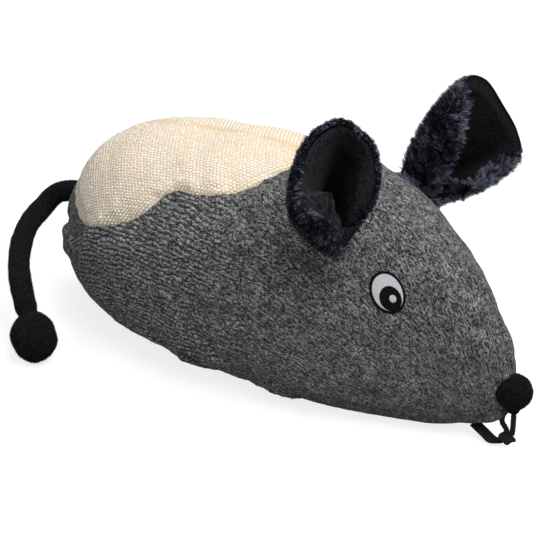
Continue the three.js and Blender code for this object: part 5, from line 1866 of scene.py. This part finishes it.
class TOY_OT_stage(bpy.types.Operator):
    """Sets the pale floor, the soft lamps and the camera at the photograph's angle"""
    bl_idname = "toy.stage"
    bl_label = "Stage"

    def execute(self, context):
        self.floor()
        self.world(context.scene)
        self.lamps()
        self.camera(context.scene)
        context.scene.view_settings.view_transform = "Standard"
        return {"FINISHED"}

    def white_to_camera(self, tree, strength):
        path = add_node(tree, "ShaderNodeLightPath")
        seen = sums(tree, "MAXIMUM", path.outputs["Is Camera Ray"], path.outputs["Is Glossy Ray"])
        seen = sums(tree, "MAXIMUM", seen, path.outputs["Is Transmission Ray"])
        return sums(tree, "MULTIPLY", seen, strength)

    def floor(self):
        shape = bmesh.new()
        bmesh.ops.create_grid(shape, x_segments=1, y_segments=1, size=FLOOR_SIZE)
        mesh = mesh_of(shape, "floor")
        floor = show(mesh, [], smooth=False)
        material, tree, shader = new_material("floor_white", 1.0, specular=0.0)
        shader.inputs["Base Color"].default_value = (FLOOR_GREY, FLOOR_GREY, FLOOR_GREY, 1)
        glow = add_node(tree, "ShaderNodeEmission", {
            "Color": (1, 1, 1, 1), "Strength": self.white_to_camera(tree, FLOOR_GLOW)})
        both = add_node(tree, "ShaderNodeAddShader")
        tree.links.new(shader.outputs[0], both.inputs[0])
        tree.links.new(glow.outputs[0], both.inputs[1])
        tree.links.new(both.outputs[0], tree.nodes["Material Output"].inputs["Surface"])
        mesh.materials.append(material)

    def world(self, scene):
        world = bpy.data.worlds.new("studio")
        scene.world = world
        world.use_nodes = True
        tree = world.node_tree
        tree.nodes.clear()
        ambient, white = (
            add_node(tree, "ShaderNodeBackground", {"Color": (1, 1, 1, 1), "Strength": strength})
            for strength in (AMBIENT, 1.0))
        mixed = add_node(tree, "ShaderNodeMixShader", {0: self.white_to_camera(tree, 1.0)})
        tree.links.new(ambient.outputs[0], mixed.inputs[1])
        tree.links.new(white.outputs[0], mixed.inputs[2])
        out = add_node(tree, "ShaderNodeOutputWorld")
        tree.links.new(mixed.outputs[0], out.inputs["Surface"])

    def lamps(self):
        for name, (place, size, power) in LAMPS.items():
            light = bpy.data.lights.new(name, "AREA")
            light.shape = "DISK"
            light.size = size
            light.energy = power
            lamp = bpy.data.objects.new(name, light)
            bpy.context.scene.collection.objects.link(lamp)
            lamp.location = place
            towards = LOOK_AT - Vector(place)
            lamp.rotation_euler = towards.to_track_quat("-Z", "Y").to_euler()

    def camera(self, scene):
        lens = bpy.data.cameras.new("camera")
        lens.lens = LENS
        lens.sensor_width = SENSOR_WIDTH
        lens.shift_x, lens.shift_y = CAMERA_SHIFT
        lens.clip_end = 20
        camera = bpy.data.objects.new("camera", lens)
        scene.collection.objects.link(camera)
        back = CAMERA_RIGHT.cross(CAMERA_UP).normalized()
        turn = Matrix((CAMERA_RIGHT, CAMERA_UP, back)).transposed()
        camera.matrix_world = Matrix.Translation(LOOK_AT + back * CAMERA_AWAY) @ turn.to_4x4()
        scene.camera = camera


class TOY_PT_pieces(bpy.types.Panel):
    """Lists the toy's pieces"""
    bl_idname = "TOY_PT_pieces"
    bl_label = "Mouse toy"
    bl_space_type = "VIEW_3D"
    bl_region_type = "UI"
    bl_category = "Mouse toy"

    def draw(self, context):
        for settings in (context.scene.toy_body, context.scene.toy_ears, context.scene.toy_colours):
            box = self.layout.box()
            for name in settings.bl_rna.properties.keys():
                if name not in ("rna_type", "name"):
                    box.prop(settings, name)
        for operator in OPERATORS:
            self.layout.operator(operator.bl_idname)


GROUP_CLASSES = (BodySizes, EarSizes, ToyColours)
OPERATORS = (
    TOY_OT_stage, TOY_OT_stuffed_form, TOY_OT_knit_panels, TOY_OT_scratch_patch, TOY_OT_eyes,
    TOY_OT_ears, TOY_OT_nose, TOY_OT_nose_loop, TOY_OT_tail,
)


def register():
    for kind in (*GROUP_CLASSES, *OPERATORS, TOY_PT_pieces):
        bpy.utils.register_class(kind)
    bpy.types.Scene.toy_body = PointerProperty(type=BodySizes)
    bpy.types.Scene.toy_ears = PointerProperty(type=EarSizes)
    bpy.types.Scene.toy_colours = PointerProperty(type=ToyColours)


def unregister():
    del bpy.types.Scene.toy_colours
    del bpy.types.Scene.toy_ears
    del bpy.types.Scene.toy_body
    for kind in reversed((*GROUP_CLASSES, *OPERATORS, TOY_PT_pieces)):
        bpy.utils.unregister_class(kind)


def main():
    register()
    bpy.ops.toy.stage()
    bpy.ops.toy.stuffed_form()
    bpy.ops.toy.knit_panels()
    bpy.ops.toy.scratch_patch()
    bpy.ops.toy.eyes()
    bpy.ops.toy.ears()
    bpy.ops.toy.nose()
    bpy.ops.toy.nose_loop()
    bpy.ops.toy.tail()


if __name__ == "__main__":
    main()
